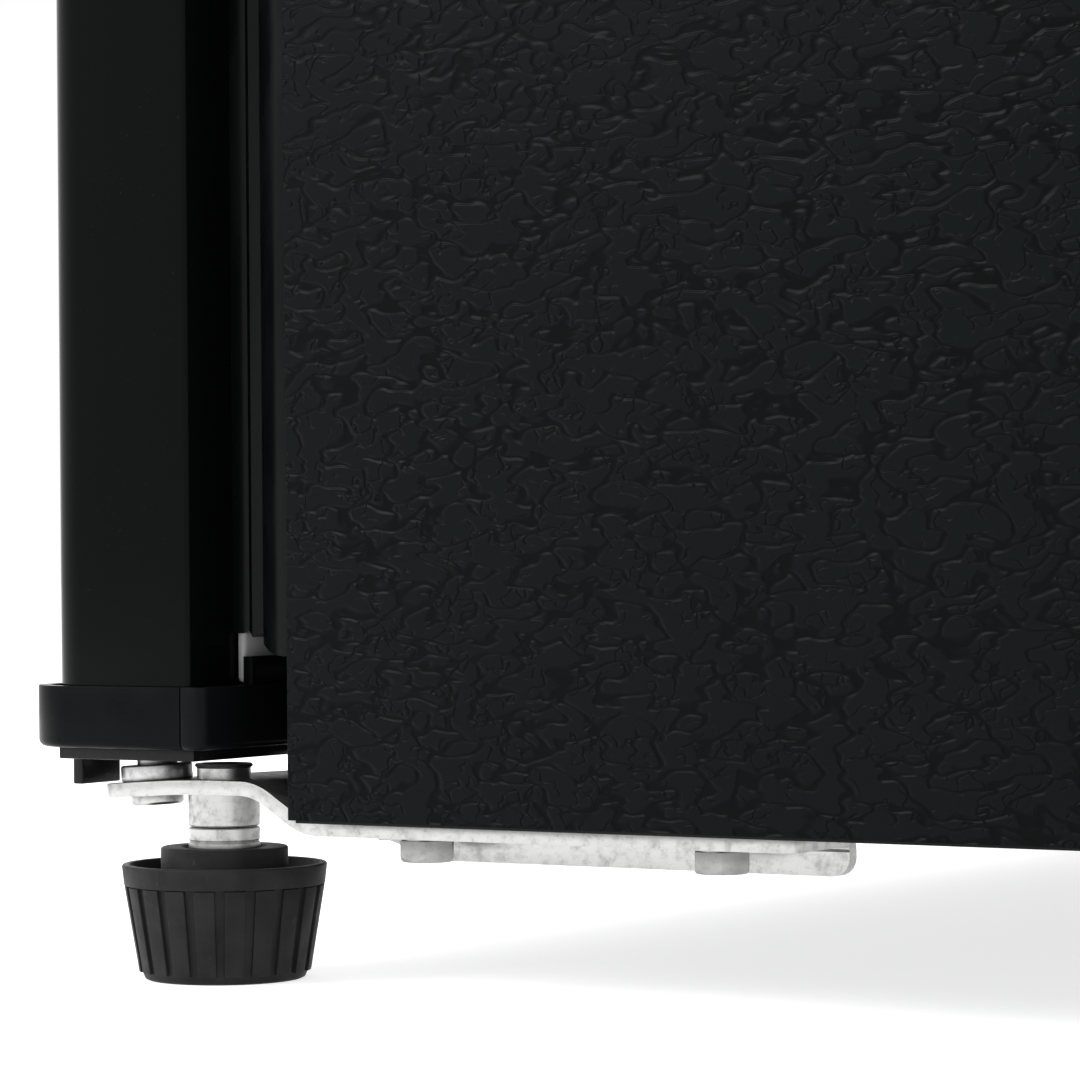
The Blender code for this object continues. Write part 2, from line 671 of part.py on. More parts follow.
def handle_box():
    """Outer corners of the finger recess in the top of the door."""
    x0 = -DOOR_SIDE + HANDLE_LEFT
    y0 = (DOOR_FRONT + DOOR_REAR - HANDLE_WIDTH) / 2
    return (x0, y0, CAP_TOP - HANDLE_DEPTH), (x0 + HANDLE_LENGTH, y0 + HANDLE_WIDTH, CAP_TOP)


def grown(corners, by, up=0.0):
    """A box's corners, grown sideways and downwards, and upwards by another amount."""
    low, high = corners
    return (low[0] - by, low[1] - by, low[2] - by), (high[0] + by, high[1] + by, high[2] + up)


def handle_cup(look):
    """Open-topped finger recess set into the upper cap."""
    (x0, y0, z0), (x1, y1, z1) = handle_box()
    wall = HANDLE_WALL
    outer = [(x0, y0), (x1, y0), (x1, y1), (x0, y1)]
    inner = [(x0 + wall, y0 + wall), (x1 - wall, y0 + wall), (x1 - wall, y1 - wall), (x0 + wall, y1 - wall)]
    mesh = bmesh.new()
    loft(mesh, [level(outer, z0), level(outer, z1), level(inner, z1), level(inner, z0 + wall)])
    return finish("handle_cup", mesh, look)


def door_foam(look):
    """Insulation that fills the door's shell and the plug of its liner."""
    gap = DOOR_SHEET + FIT
    side = DOOR_SIDE - gap
    corner = DOOR_CORNER - gap
    plug_side = PLUG_SIDE - DOOR_LINER_WALL - FIT
    loops = []
    for x, y in reversed(arc((side - corner, DOOR_FRONT + gap + corner), corner, 0, -90)):
        loops.append((x, y, SKIN_BOTTOM, SKIN_TOP))
    loops.append((side, DOOR_REAR - gap, SKIN_BOTTOM, SKIN_TOP))
    low, high = PLUG_BOTTOM + DOOR_LINER_WALL + FIT, PLUG_TOP - DOOR_LINER_WALL - FIT
    loops.append((plug_side, DOOR_REAR - gap, low, high))
    loops.append((plug_side, PLUG_BACK - DOOR_LINER_WALL - FIT, low, high))
    mesh = bmesh.new()
    loft(mesh, [[(-x, y, z0), (x, y, z0), (x, y, z1), (-x, y, z1)] for x, y, z0, z1 in loops])
    foam = finish("door_foam", mesh, look)
    low, high = grown(handle_box(), FIT, CAP_PLATE)
    recess = bmesh.new()
    block(recess, low, high)
    cut(foam, recess)
    for z in (SKIN_BOTTOM, SKIN_TOP):
        reach = PIN_REACH + 2 * FIT
        cut(foam, cylinder_cutter((PIVOT_X, PIVOT_Y), DOOR_BUSH_RADIUS + FIT, z - reach, z + reach))
    return foam


def door_liner(look):
    """White inner lining of the door: border, plug and two ribs for the bins."""
    side = SIDE - GASKET_EDGE - GASKET_LIP - FIT
    y0 = DOOR_REAR + FIT
    y1 = y0 + DOOR_LINER_WALL
    low, high = CAP_BOTTOM + CAP_HEIGHT + FIT, CAP_TOP - CAP_HEIGHT - FIT
    wall = DOOR_LINER_WALL
    border = (side, low, high)
    plug = (PLUG_SIDE, PLUG_BOTTOM, PLUG_TOP)
    core = (PLUG_SIDE - wall, PLUG_BOTTOM + wall, PLUG_TOP - wall)
    stations = [(border, y0), (border, y1), (plug, y1), (plug, PLUG_BACK)]
    back = [(core, y0), (core, PLUG_BACK - wall)]

    def loop(size, y):
        x, z0, z1 = size
        return [(-x, y, z0), (x, y, z0), (x, y, z1), (-x, y, z1)]
    mesh = bmesh.new()
    loops = [loop(*s) for s in reversed(back)] + [loop(*s) for s in stations]
    loft(mesh, loops)
    liner = finish("door_liner", mesh, look)
    for x0, x1 in dike_places():
        dike = bmesh.new()
        block(dike, (x0, PLUG_BACK - wall / 2, PLUG_BOTTOM + DIKE_WIDTH),
              (x1, FRONT + DIKE_REACH, BIN_HEIGHTS["door_bin_upper"] + BIN_HEIGHT))
        join(liner, dike)
        toward = 1 if x0 < 0 else -1
        edge = x1 if x0 < 0 else x0
        for z in BIN_HEIGHTS.values():
            peg = bmesh.new()
            xs = sorted((edge - toward * DIKE_WIDTH / 2, edge + toward * DIKE_WIDTH))
            block(peg, (xs[0], PLUG_BACK - wall / 2, z - FIT - DIKE_WIDTH), (xs[1], FRONT + DIKE_REACH, z - FIT))
            join(liner, peg)
    return liner


def dike_places():
    """Sideways extent of the two ribs that flank the door bins."""
    left = BIN_LEFT - RUN_CLEARANCE
    right = BIN_RIGHT + RUN_CLEARANCE
    return (left - DIKE_WIDTH, left), (right, right + DIKE_WIDTH)


def door_gasket(look):
    """Soft magnetic seal, a mitred frame with a bulging outer side."""
    base = DOOR_REAR + DOOR_LINER_WALL + 2 * FIT
    seal = FRONT - GASKET_SEAL_GAP
    depth = seal - base
    side = SIDE - GASKET_EDGE
    lip, rise, crest, fall = GASKET_BULGE
    profile = [
        (GASKET_LIP, base), (GASKET_LIP * lip, base + depth * rise), (0.0, base + depth * crest),
        (GASKET_LIP * lip, base + depth * fall), (GASKET_LIP, seal),
        (GASKET_WIDTH, seal), (GASKET_WIDTH, base),
    ]
    loops = []
    for inward, y in profile:
        x = side - inward
        z0, z1 = GASKET_BOTTOM + inward, GASKET_TOP - inward
        loops.append([(-x, y, z0), (x, y, z0), (x, y, z1), (-x, y, z1)])
    mesh = bmesh.new()
    ring_loft(mesh, loops)
    return finish("door_gasket", mesh, look)


def door_bush(name, look, outer_z, inward):
    """Plastic bush that lines the hinge pin's hole in a door cap."""
    z_out = outer_z - inward * (CAP_PLATE - BUSH_RECESS)
    z_in = outer_z + inward * (CAP_PLATE + PIN_REACH)
    bore = PIN_RADIUS + BORE_CLEARANCE
    if inward < 0:
        z_out = outer_z
    profile = [(bore, z_out), (DOOR_BUSH_RADIUS, z_out), (DOOR_BUSH_RADIUS, z_in), (bore, z_in)]
    mesh = bmesh.new()
    turned(mesh, profile, (PIVOT_X, PIVOT_Y, 0), SMALL_ROUND)
    return finish(name, mesh, look, (PIVOT_X, PIVOT_Y, outer_z))


def door_stop_plate(look):
    """Steel plate under the door whose tab meets the bracket when the door is open."""
    top = CAP_BOTTOM - FIT
    low = top - STOP_PLATE_THICKNESS
    x0, x1 = PIVOT_X - STOP_PLATE_INNER, PIVOT_X + STOP_PLATE_OUTER
    y0, y1 = PIVOT_Y - STOP_PLATE_FRONT, PIVOT_Y + STOP_PLATE_REAR
    mesh = bmesh.new()
    block(mesh, (x0, y0, low), (x1, y1, top))
    plate = finish("door_stop_plate", mesh, look, (PIVOT_X, PIVOT_Y, top))
    tab = bmesh.new()
    block(tab, (PIVOT_X - STOP_TAB_INNER, y0, STOP_TAB_BOTTOM),
          (PIVOT_X + STOP_TAB_OUTER, y0 + STOP_PLATE_THICKNESS, top - FIT))
    join(plate, tab)
    cut(plate, cylinder_cutter((PIVOT_X, PIVOT_Y), DOOR_BUSH_RADIUS + FIT, low - CAP_PLATE, CAP_BOTTOM))
    return plate


def door_bin(name, look, floor):
    """Open tray that hangs between the ribs of the door liner."""
    y0 = PLUG_BACK + RUN_CLEARANCE
    x0, x1, y1 = BIN_LEFT, BIN_RIGHT, y0 + BIN_DEPTH
    wall = BIN_WALL
    outer = [(x0, y0), (x1, y0), (x1, y1), (x0, y1)]
    inner = [(x0 + wall, y0 + wall), (x1 - wall, y0 + wall), (x1 - wall, y1 - wall), (x0 + wall, y1 - wall)]
    mesh = bmesh.new()
    loft(mesh, [level(outer, floor), level(outer, floor + BIN_HEIGHT),
                level(inner, floor + BIN_HEIGHT), level(inner, floor + wall)])
    return finish(name, mesh, look, ((x0 + x1) / 2, (y0 + y1) / 2, floor))


# ---------------------------------------------------------- hinges and brackets
def strip_profile(front, droops):
    """Side outline (y, z) of the cranked strip that carries a front foot."""
    top = [(FRONT + BRACKET_REAR, ARM_TOP), (FRONT + JOGGLE_LOW, ARM_TOP), (FRONT + JOGGLE_HIGH, EAR_TOP)]
    if droops:
        top.append((FRONT + EAR_BEND, EAR_TOP))
    top.append((front, EAR_TOP - (EAR_DROOP if droops else 0.0)))
    return top + [(y, z - BRACKET_THICKNESS) for y, z in reversed(top)]


def ear_cutter(side, outline):
    """Prism over a plan outline; a bracket is trimmed to what it encloses."""
    mesh = bmesh.new()
    reach = EAR_TOP + BRACKET_THICKNESS
    loft(mesh, [[(side * x, y, z) for x, y in outline] for z in (ARM_UNDERSIDE - FLANGE_DEPTH, reach)])
    return mesh


def foot_bracket(name, look, side, with_pivot):
    """Cranked steel strip under the cabinet's front corner; side is +1 on the right."""
    foot_margin = FOOT_SHOULDER_RADIUS + FLANGE_CORNER
    front = PIVOT_Y - BRACKET_TIP_RADIUS if with_pivot else FOOT_Y - foot_margin
    near = SIDE - PIVOT_INSET + BRACKET_TIP_RADIUS
    far = SIDE - BRACKET_FAR_EDGE
    ear = SIDE - BRACKET_EAR_EDGE
    mesh = bmesh.new()
    xs = sorted((side * near, side * ear))
    prism(mesh, strip_profile(front - BRACKET_TIP_RADIUS, with_pivot), "x", xs[0], xs[1])
    bracket = finish(name, mesh, look)
    rear = FRONT + BRACKET_REAR
    if with_pivot:
        nose = arc((PIVOT_X, PIVOT_Y), BRACKET_TIP_RADIUS, 0, -150, 2 * CORNER_STEPS)
    else:
        nose = [(near, front + FLANGE_CORNER), (near - FLANGE_CORNER, front)]
        nose += [(far + FLANGE_CORNER, front), (far, front + FLANGE_CORNER)]
    outline = [(near, rear)] + nose
    shoulder = FRONT + JOGGLE_HIGH
    if with_pivot:
        outline += [(ear, FOOT_Y - FOOT_SHOULDER_RADIUS), (ear, shoulder), (far, FRONT + JOGGLE_LOW)]
    outline += [(far, rear - FLANGE_CORNER), (far + FLANGE_CORNER, rear)]
    plan = ear_cutter(side, outline)
    tool = boolean(bracket, "INTERSECT", plan)
    tool.name = "tool_plan_" + name
    flange = bmesh.new()
    y0, y1 = FRONT - FLANGE_START, rear
    low, high = ARM_TOP - FLANGE_DEPTH, ARM_TOP - BRACKET_THICKNESS / 2
    corner = FLANGE_CORNER
    shape = [(y0, high), (y0, ARM_UNDERSIDE), (y0 + 2 * corner, low)]
    shape += arc((y1 - corner, low + corner), corner, -90, 0) + [(y1, high)]
    xs = sorted((side * far, side * (far + BRACKET_THICKNESS)))
    prism(flange, shape, "x", xs[0], xs[1])
    join(bracket, flange)
    for place in BOLT_PLACES:
        hole = (side * (SIDE - BOLT_INSET), FRONT + place)
        radius = BOLT_RADIUS + BORE_CLEARANCE
        cut(bracket, cylinder_cutter(hole, radius, ARM_UNDERSIDE - SHEET, ARM_TOP + SHEET))
    reach = 2 * BRACKET_THICKNESS
    foot = (side * FOOT_X, FOOT_Y)
    cut(bracket, cylinder_cutter(foot, BUSH_NECK_RADIUS + FIT, EAR_UNDERSIDE - reach, EAR_TOP + reach))
    if with_pivot:
        pivot = (PIVOT_X, PIVOT_Y)
        cut(bracket, cylinder_cutter(pivot, PIN_RADIUS + FIT, EAR_UNDERSIDE - reach, EAR_TOP + reach))
    return bracket


def hex_bolt(name, look, side, place):
    """Hexagon-headed screw through a foot bracket into the base panel."""
    centre = (side * (SIDE - BOLT_INSET), FRONT + place, 0)
    corner = BOLT_FLATS / math.sqrt(3)
    top = ARM_UNDERSIDE - FIT
    mesh = bmesh.new()
    turned(mesh, [(0, top - BOLT_HEAD), (corner, top - BOLT_HEAD), (corner, top), (0, top)], centre, 6)
    bolt = finish(name, mesh, look, (centre[0], centre[1], top))
    shank = bmesh.new()
    turned(shank, [(0, top - BOLT_HEAD / 2), (BOLT_RADIUS, top - BOLT_HEAD / 2),
                   (BOLT_RADIUS, top + BOLT_LENGTH), (0, top + BOLT_LENGTH)], centre, SMALL_ROUND)
    join(bolt, shank)
    return bolt


def bolt_hole_cutters(target, low, high):
    """Clear the four bracket bolts from a piece above them."""
    for side in (-1, 1):
        for place in BOLT_PLACES:
            hole = (side * (SIDE - BOLT_INSET), FRONT + place)
            cut(target, cylinder_cutter(hole, BOLT_RADIUS + BORE_CLEARANCE, low, high))


def foot_bush(name, look, side):
    """Threaded bush riveted through the bracket, in which a front foot turns."""
    bore = STUD_RADIUS + BORE_CLEARANCE
    low = FOOT_SHOULDER_TOP + FIT
    under = EAR_UNDERSIDE - FIT
    top = EAR_TOP + BUSH_NECK_TOP
    profile = [
        (bore, low), (FOOT_SHOULDER_RADIUS, low), (FOOT_SHOULDER_RADIUS, under),
        (BUSH_NECK_RADIUS, under), (BUSH_NECK_RADIUS, top), (bore, top),
    ]
    mesh = bmesh.new()
    turned(mesh, profile, (side * FOOT_X, FOOT_Y, 0), ROUND)
    return finish(name, mesh, look, (side * FOOT_X, FOOT_Y, low))


def lower_hinge_pin(look):
    """Pivot pin riveted through the bracket, with its head underneath."""
    slope = EAR_DROOP / (FRONT + EAR_BEND - (PIVOT_Y - 2 * BRACKET_TIP_RADIUS))
    dip = slope * (FRONT + EAR_BEND - PIVOT_Y + PIN_HEAD_RADIUS)
    head_top = EAR_UNDERSIDE - dip - FIT
    top = CAP_BOTTOM + CAP_PLATE + PIN_REACH - FIT
    profile = [
        (0, head_top - PIN_HEAD), (PIN_HEAD_RADIUS, head_top - PIN_HEAD), (PIN_HEAD_RADIUS, head_top),
        (PIN_RADIUS, head_top), (PIN_RADIUS, top - FIT), (0, top),
    ]
    mesh = bmesh.new()
    turned(mesh, profile, (PIVOT_X, PIVOT_Y, 0), ROUND)
    return finish("lower_hinge_pin", mesh, look, (PIVOT_X, PIVOT_Y, head_top))


def lower_hinge_washer(look):
    """Plated spacer around the pin that carries the door's weight."""
    bore = PIN_RADIUS + BORE_CLEARANCE
    mesh = bmesh.new()
    edge = CAP_EDGE / 2
    profile = [
        (bore, WASHER_BOTTOM), (WASHER_RADIUS - edge, WASHER_BOTTOM), (WASHER_RADIUS, WASHER_BOTTOM + edge),
        (WASHER_RADIUS, WASHER_TOP - edge), (WASHER_RADIUS - edge, WASHER_TOP), (bore, WASHER_TOP),
    ]
    turned(mesh, profile, (PIVOT_X, PIVOT_Y, 0), ROUND)
    return finish("lower_hinge_washer", mesh, look, (PIVOT_X, PIVOT_Y, WASHER_BOTTOM))


def upper_hinge_bracket(look):
    """Flat strip on top of the cabinet that reaches out over the door."""
    z0 = TOP + FIT
    half = TOP_PLATE_WIDTH / 2
    mesh = bmesh.new()
    outline = [(PIVOT_X + half / 2, FRONT + TOP_PLATE_LENGTH), (PIVOT_X - half, FRONT + TOP_PLATE_LENGTH),
               (PIVOT_X - half, FRONT)] + arc((PIVOT_X, PIVOT_Y), half / 2, -180, 0, 2 * CORNER_STEPS)
    loft(mesh, [level(outline, z0), level(outline, z0 + BRACKET_THICKNESS)])
    plate = finish("upper_hinge_bracket", mesh, look)
    reach = BRACKET_THICKNESS
    cut(plate, cylinder_cutter((PIVOT_X, PIVOT_Y), PIN_RADIUS + FIT, z0 - reach, z0 + 2 * reach))
    for place in TOP_SCREW_PLACES:
        hole = (PIVOT_X - half / 4, FRONT + place)
        cut(plate, cylinder_cutter(hole, TOP_SCREW_RADIUS + BORE_CLEARANCE, z0 - reach, z0 + 2 * reach))
    return plate


def upper_hinge_pin(look):
    """Pivot pin riveted into the upper bracket, pointing down into the door."""
    top = TOP + FIT + BRACKET_THICKNESS
    low = CAP_TOP - CAP_PLATE - PIN_REACH + FIT
    profile = [
        (0, low), (PIN_RADIUS, low + FIT), (PIN_RADIUS, top + FIT), (PIN_HEAD_RADIUS, top + FIT),
        (PIN_HEAD_RADIUS, top + FIT + PIN_HEAD), (0, top + FIT + PIN_HEAD),
    ]
    mesh = bmesh.new()
    turned(mesh, profile, (PIVOT_X, PIVOT_Y, 0), ROUND)
    return finish("upper_hinge_pin", mesh, look, (PIVOT_X, PIVOT_Y, top))


def top_screw(name, look, place):
    """Pan-headed screw that holds the upper bracket to the cabinet."""
    z = TOP + 2 * FIT + BRACKET_THICKNESS
    centre = (PIVOT_X - TOP_SCREW_INSET, FRONT + place, 0)
    head = TOP_SCREW_HEAD_RADIUS
    profile = [
        (0, z - TOP_SCREW_LENGTH), (TOP_SCREW_RADIUS, z - TOP_SCREW_LENGTH), (TOP_SCREW_RADIUS, z),
        (head, z), (head * DOMED_EDGE, z + TOP_SCREW_HEAD * DOMED_EDGE), (0, z + TOP_SCREW_HEAD),
    ]
    mesh = bmesh.new()
    turned(mesh, profile, centre, SMALL_ROUND)
    return finish(name, mesh, look, (centre[0], centre[1], z))


def upper_hinge_cover(look):
    """Moulded lid over the upper hinge, open underneath."""
    half = TOP_PLATE_WIDTH / 2
    margin = COVER_MARGIN
    x0, x1 = PIVOT_X - half - margin, PIVOT_X + half / 2 + margin
    y0, y1 = PIVOT_Y - half / 2 - margin, FRONT + TOP_PLATE_LENGTH + margin
    low, high = TOP + FIT, TOP + COVER_HEIGHT
    wall = COVER_WALL

    def plan(inset, bevel):
        a, b, c, d = x0 + inset, x1 - inset, y0 + inset, y1 - inset
        return [(a + bevel, c), (b - bevel, c), (b, c + bevel), (b, d - bevel),
                (b - bevel, d), (a + bevel, d), (a, d - bevel), (a, c + bevel)]
    mesh = bmesh.new()
    loft(mesh, [level(plan(wall, margin / 2), high - wall), level(plan(wall, margin / 2), low),
                level(plan(0, margin), low), level(plan(0, margin), high - wall),
                level(plan(wall, margin), high)])
    return finish("upper_hinge_cover", mesh, look)


# ----------------------------------------------------------------------- feet
def foot_stud(name, look, side):
    """Threaded stud of a front foot, with the shoulder that seats in its cup."""
    low = FOOT_SOCKET_BOTTOM + FIT
    shelf = FOOT_SOCKET_FLOOR + FIT
    shoulder = FOOT_SHOULDER_RADIUS
    profile = [
        (0, low), (STUD_RADIUS, low), (STUD_RADIUS, shelf), (shoulder, shelf),
        (shoulder, FOOT_SHOULDER_TOP), (STUD_RADIUS, FOOT_SHOULDER_TOP),
        (STUD_RADIUS, STUD_TOP - FOOT_EDGE), (STUD_RADIUS - FOOT_EDGE, STUD_TOP), (0, STUD_TOP),
    ]
    mesh = bmesh.new()
    turned(mesh, profile, (side * FOOT_X, FOOT_Y, 0), ROUND)
    return finish(name, mesh, look, (side * FOOT_X, FOOT_Y, 0))


def foot_cup(name, look, side):
    """Moulded cup of a front foot: flared skirt, open well and central collar."""
    wall = FOOT_RIM_WALL
    bore = STUD_RADIUS + BORE_CLEARANCE
    seat = FOOT_SHOULDER_RADIUS + BORE_CLEARANCE
    slope = (FOOT_RIM_RADIUS - FOOT_BASE_RADIUS) / FOOT_RIM_HEIGHT
    well = FOOT_RIM_RADIUS - wall - slope * (FOOT_RIM_HEIGHT - FOOT_WELL)
    profile = [
        (0, 0), (FOOT_BASE_RADIUS - FOOT_EDGE, 0), (FOOT_BASE_RADIUS, FOOT_EDGE),
        (FOOT_RIM_RADIUS, FOOT_RIM_HEIGHT), (FOOT_RIM_RADIUS - wall, FOOT_RIM_HEIGHT),
        (well, FOOT_WELL), (FOOT_COLLAR_RADIUS, FOOT_WELL), (FOOT_COLLAR_RADIUS, FOOT_COLLAR_HEIGHT),
        (seat, FOOT_COLLAR_HEIGHT), (seat, FOOT_SOCKET_FLOOR), (bore, FOOT_SOCKET_FLOOR),
        (bore, FOOT_SOCKET_BOTTOM), (0, FOOT_SOCKET_BOTTOM),
    ]
    mesh = bmesh.new()
    turned(mesh, profile, (side * FOOT_X, FOOT_Y, 0), ROUND)
    return finish(name, mesh, look, (side * FOOT_X, FOOT_Y, 0))


def rear_foot(name, look, side):
    """Fixed moulded foot under the compressor tray."""
    x, y = side * (SIDE - REAR_FOOT_INSET), BACK - REAR_FOOT_FORWARD
    top = BASE_UNDERSIDE - FIT
    radius = REAR_FOOT_RADIUS
    profile = [(0, 0), (radius - FOOT_EDGE, 0), (radius, FOOT_EDGE), (REAR_FOOT_TOP_RADIUS, top), (0, top)]
    mesh = bmesh.new()
    turned(mesh, profile, (x, y, 0), ROUND)
    return finish(name, mesh, look, (x, y, 0))


# ------------------------------------------------------------------- interior
def chiller_box():
    """Outer corners of the evaporator box under the ceiling."""
    top = ROOM_TOP - FIT - HANGER_HEIGHT - FIT
    y0 = FRONT + CHILLER_FRONT
    return (CHILLER_LEFT, y0, top - CHILLER_HEIGHT), (CHILLER_RIGHT, y0 + CHILLER_DEPTH, top)


def evaporator(look):
    """Roll-bonded plate bent into a box that is open at the front."""
    (x0, y0, z0), (x1, y1, z1) = chiller_box()
    wall = CHILLER_WALL

    def loop(inset, y):
        a, b, c, d = x0 + inset, x1 - inset, z0 + inset, z1 - inset
        return [(a, y, c), (b, y, c), (b, y, d), (a, y, d)]
    mesh = bmesh.new()
    loft(mesh, [loop(0, y1), loop(0, y0), loop(wall, y0), loop(wall, y1 - wall)])
    return finish("evaporator", mesh, look)


def evaporator_hanger(look):
    """Moulded spacer that fixes the evaporator to the ceiling."""
    (x0, y0, _), (x1, y1, z1) = chiller_box()
    margin = HANGER_MARGIN
    mesh = bmesh.new()
    block(mesh, (x0 + margin, y0 + margin, z1 + FIT), (x1 - margin, y1 - margin, ROOM_TOP - FIT))
    return finish("evaporator_hanger", mesh, look)


def chill_flap(look):
    """Plastic door of the chiller, hung on the evaporator's upper front edge."""
    (x0, y0, z0), (x1, _, z1) = chiller_box()
    back = y0 - FIT
    outline = [(back, z0), (back, z1), (back - FLAP_THICKNESS, z1), (back - FLAP_THICKNESS, z0 + FLAP_THICKNESS),
               (back - 2 * FLAP_THICKNESS, z0 + FLAP_THICKNESS), (back - 2 * FLAP_THICKNESS, z0)]
    mesh = bmesh.new()
    prism(mesh, outline, "x", x0, x1)
    return finish("chill_flap", mesh, look, (x0, back, z1))


def tray_box():
    """Outer corners of the drip tray under the evaporator."""
    (x0, y0, z0), (x1, y1, _) = chiller_box()
    top = z0 - TRAY_FRAME_WALL - FIT - RUN_CLEARANCE
    inset = TRAY_FRAME_WALL + RUN_CLEARANCE
    return (x0 + inset, y0, top - TRAY_HEIGHT), (x1 - inset, y1 - inset, top)


def drip_tray(look):
    """Shallow sliding tray for defrost water."""
    (x0, y0, z0), (x1, y1, z1) = tray_box()
    wall = TRAY_WALL
    outer = [(x0, y0), (x1, y0), (x1, y1), (x0, y1)]
    inner = [(x0 + wall, y0 + wall), (x1 - wall, y0 + wall), (x1 - wall, y1 - wall), (x0 + wall, y1 - wall)]
    mesh = bmesh.new()
    loft(mesh, [level(outer, z0), level(outer, z1), level(inner, z1), level(inner, z0 + wall)])
    return finish("drip_tray", mesh, look, (0, y0, z0))


def drip_tray_frame(look):
    """Moulded frame under the evaporator whose side ledges carry the drip tray."""
    (x0, y0, z0), (x1, _, _) = tray_box()
    chiller_low, chiller_high = chiller_box()
    wall, grip = TRAY_FRAME_WALL, TRAY_FRAME_GRIP
    gap = RUN_CLEARANCE
    low, high = z0 - FIT - wall, chiller_low[2] - FIT
    outline = [
        (x0 - gap - wall, low), (x0 + grip, low), (x0 + grip, low + wall), (x0 - gap, low + wall),
        (x0 - gap, high - wall), (x1 + gap, high - wall), (x1 + gap, low + wall),
        (x1 - grip, low + wall), (x1 - grip, low), (x1 + gap + wall, low),
        (x1 + gap + wall, high), (x0 - gap - wall, high),
    ]
    mesh = bmesh.new()
    prism(mesh, outline, "y", y0 + wall, chiller_high[1])
    return finish("drip_tray_frame", mesh, look)


def shelf_places():
    """Plan extent and underside of the sliding shelf."""
    side = ROOM_SIDE - RUN_CLEARANCE
    front = FRONT + SHELF_FRONT
    back = ROOM_BACK - SHELF_BACK_GAP
    return side, front, back, ROOM_STEP + SHELF_LIFT


def shelf_glass(look):
    """Toughened glass plate of the shelf."""
    side, front, back, z = shelf_places()
    mesh = bmesh.new()
    block(mesh, (-side, front + SHELF_TRIM_DEPTH / 2, z), (side, back, z + SHELF_THICKNESS))
    return finish("shelf_glass", mesh, look, (0, front, z))


def shelf_trim(look):
    """Moulded strip clipped over the front edge of the glass."""
    side, front, _, z = shelf_places()
    lip = (SHELF_TRIM_HEIGHT - SHELF_THICKNESS) / 2
    inner = front + SHELF_TRIM_DEPTH / 2 - FIT
    outer = front + SHELF_TRIM_DEPTH
    top, low = z + SHELF_THICKNESS + FIT, z - FIT
    outline = [
        (front, low - lip), (outer, low - lip), (outer, low), (inner, low), (inner, top),
        (outer, top), (outer, top + lip), (front, top + lip),
    ]
    mesh = bmesh.new()
    prism(mesh, outline, "x", -side, side)
    return finish("shelf_trim", mesh, look, (0, front, z))


def thermostat_box():
    """Outer corners of the thermostat's housing under the ceiling."""
    x1 = ROOM_SIDE - THERMOSTAT_INSET
    y0 = FRONT + THERMOSTAT_FRONT
    z1 = ROOM_TOP - FIT
    return (x1 - THERMOSTAT_WIDTH, y0, z1 - THERMOSTAT_HEIGHT), (x1, y0 + THERMOSTAT_DEPTH, z1)


def thermostat_housing(look):
    """White moulded box that holds the thermostat."""
    (x0, y0, z0), (x1, y1, z1) = thermostat_box()
    slant = THERMOSTAT_DEPTH / 4
    mesh = bmesh.new()
    prism(mesh, [(y0, z0), (y1 - slant, z0), (y1, z0 + slant), (y1, z1), (y0, z1)], "x", x0, x1)
    housing = finish("thermostat_housing", mesh, look)
    shaft = bmesh.new()
    bore = DIAL_SHAFT_RADIUS + BORE_CLEARANCE
    depth = y0 + DIAL_SHAFT_LENGTH + FIT
    turned(shaft, [(0, y0 - FIT), (bore, y0 - FIT), (bore, depth), (0, depth)],
           ((x0 + x1) / 2, 0, (z0 + z1) / 2), SMALL_ROUND, axis="y")
    cut(housing, shaft)
    return housing


def thermostat_dial(look):
    """Control knob with its shaft and a raised pointer."""
    (x0, y0, z0), (x1, _, z1) = thermostat_box()
    centre = ((x0 + x1) / 2, 0, (z0 + z1) / 2)
    back, front = y0 - FIT, y0 - FIT - DIAL_LENGTH
    profile = [
        (0, front), (DIAL_FACE_RADIUS, front), (DIAL_EDGE_RADIUS, front + FOOT_EDGE), (DIAL_RADIUS, back),
        (DIAL_SHAFT_RADIUS, back),
        (DIAL_SHAFT_RADIUS, y0 + DIAL_SHAFT_LENGTH), (0, y0 + DIAL_SHAFT_LENGTH),
    ]
    mesh = bmesh.new()
    turned(mesh, profile, centre, SMALL_ROUND, axis="y")
    dial = finish("thermostat_dial", mesh, look, (centre[0], back, centre[2]))
    pointer = bmesh.new()
    half = DIAL_POINTER / 2
    block(pointer, (centre[0] - half, front - DIAL_POINTER, centre[2] - DIAL_POINTER_REACH),
          (centre[0] + half, front + half, centre[2] + DIAL_POINTER_REACH))
    join(dial, pointer)
    return dial


# ------------------------------------------------------ cooling circuit, rear
def compressor_tray(look):
    """Folded steel floor of the compressor bay, carried by the rear feet."""
    side = SIDE - SHEET - FIT
    y0, y1 = BAY_FRONT + 2 * FIT, BACK - SHEET - FIT
    z0 = BASE_UNDERSIDE
    t, flange = TRAY_PLATE, TRAY_FLANGE
    outline = [
        (y0, z0), (y1, z0), (y1, z0 + flange), (y1 - t, z0 + flange), (y1 - t, z0 + t),
        (y0 + t, z0 + t), (y0 + t, z0 + flange), (y0, z0 + flange),
    ]
    mesh = bmesh.new()
    prism(mesh, outline, "x", -side, side)
    return finish("compressor_tray", mesh, look)


def compressor_base():
    """Centre of the compressor's underside."""
    z = BASE_UNDERSIDE + TRAY_PLATE + FIT + MOUNT_FOOT_HEIGHT + MOUNT_THICKNESS + FIT
    return COMPRESSOR_X, BACK - COMPRESSOR_FROM_BACK, z


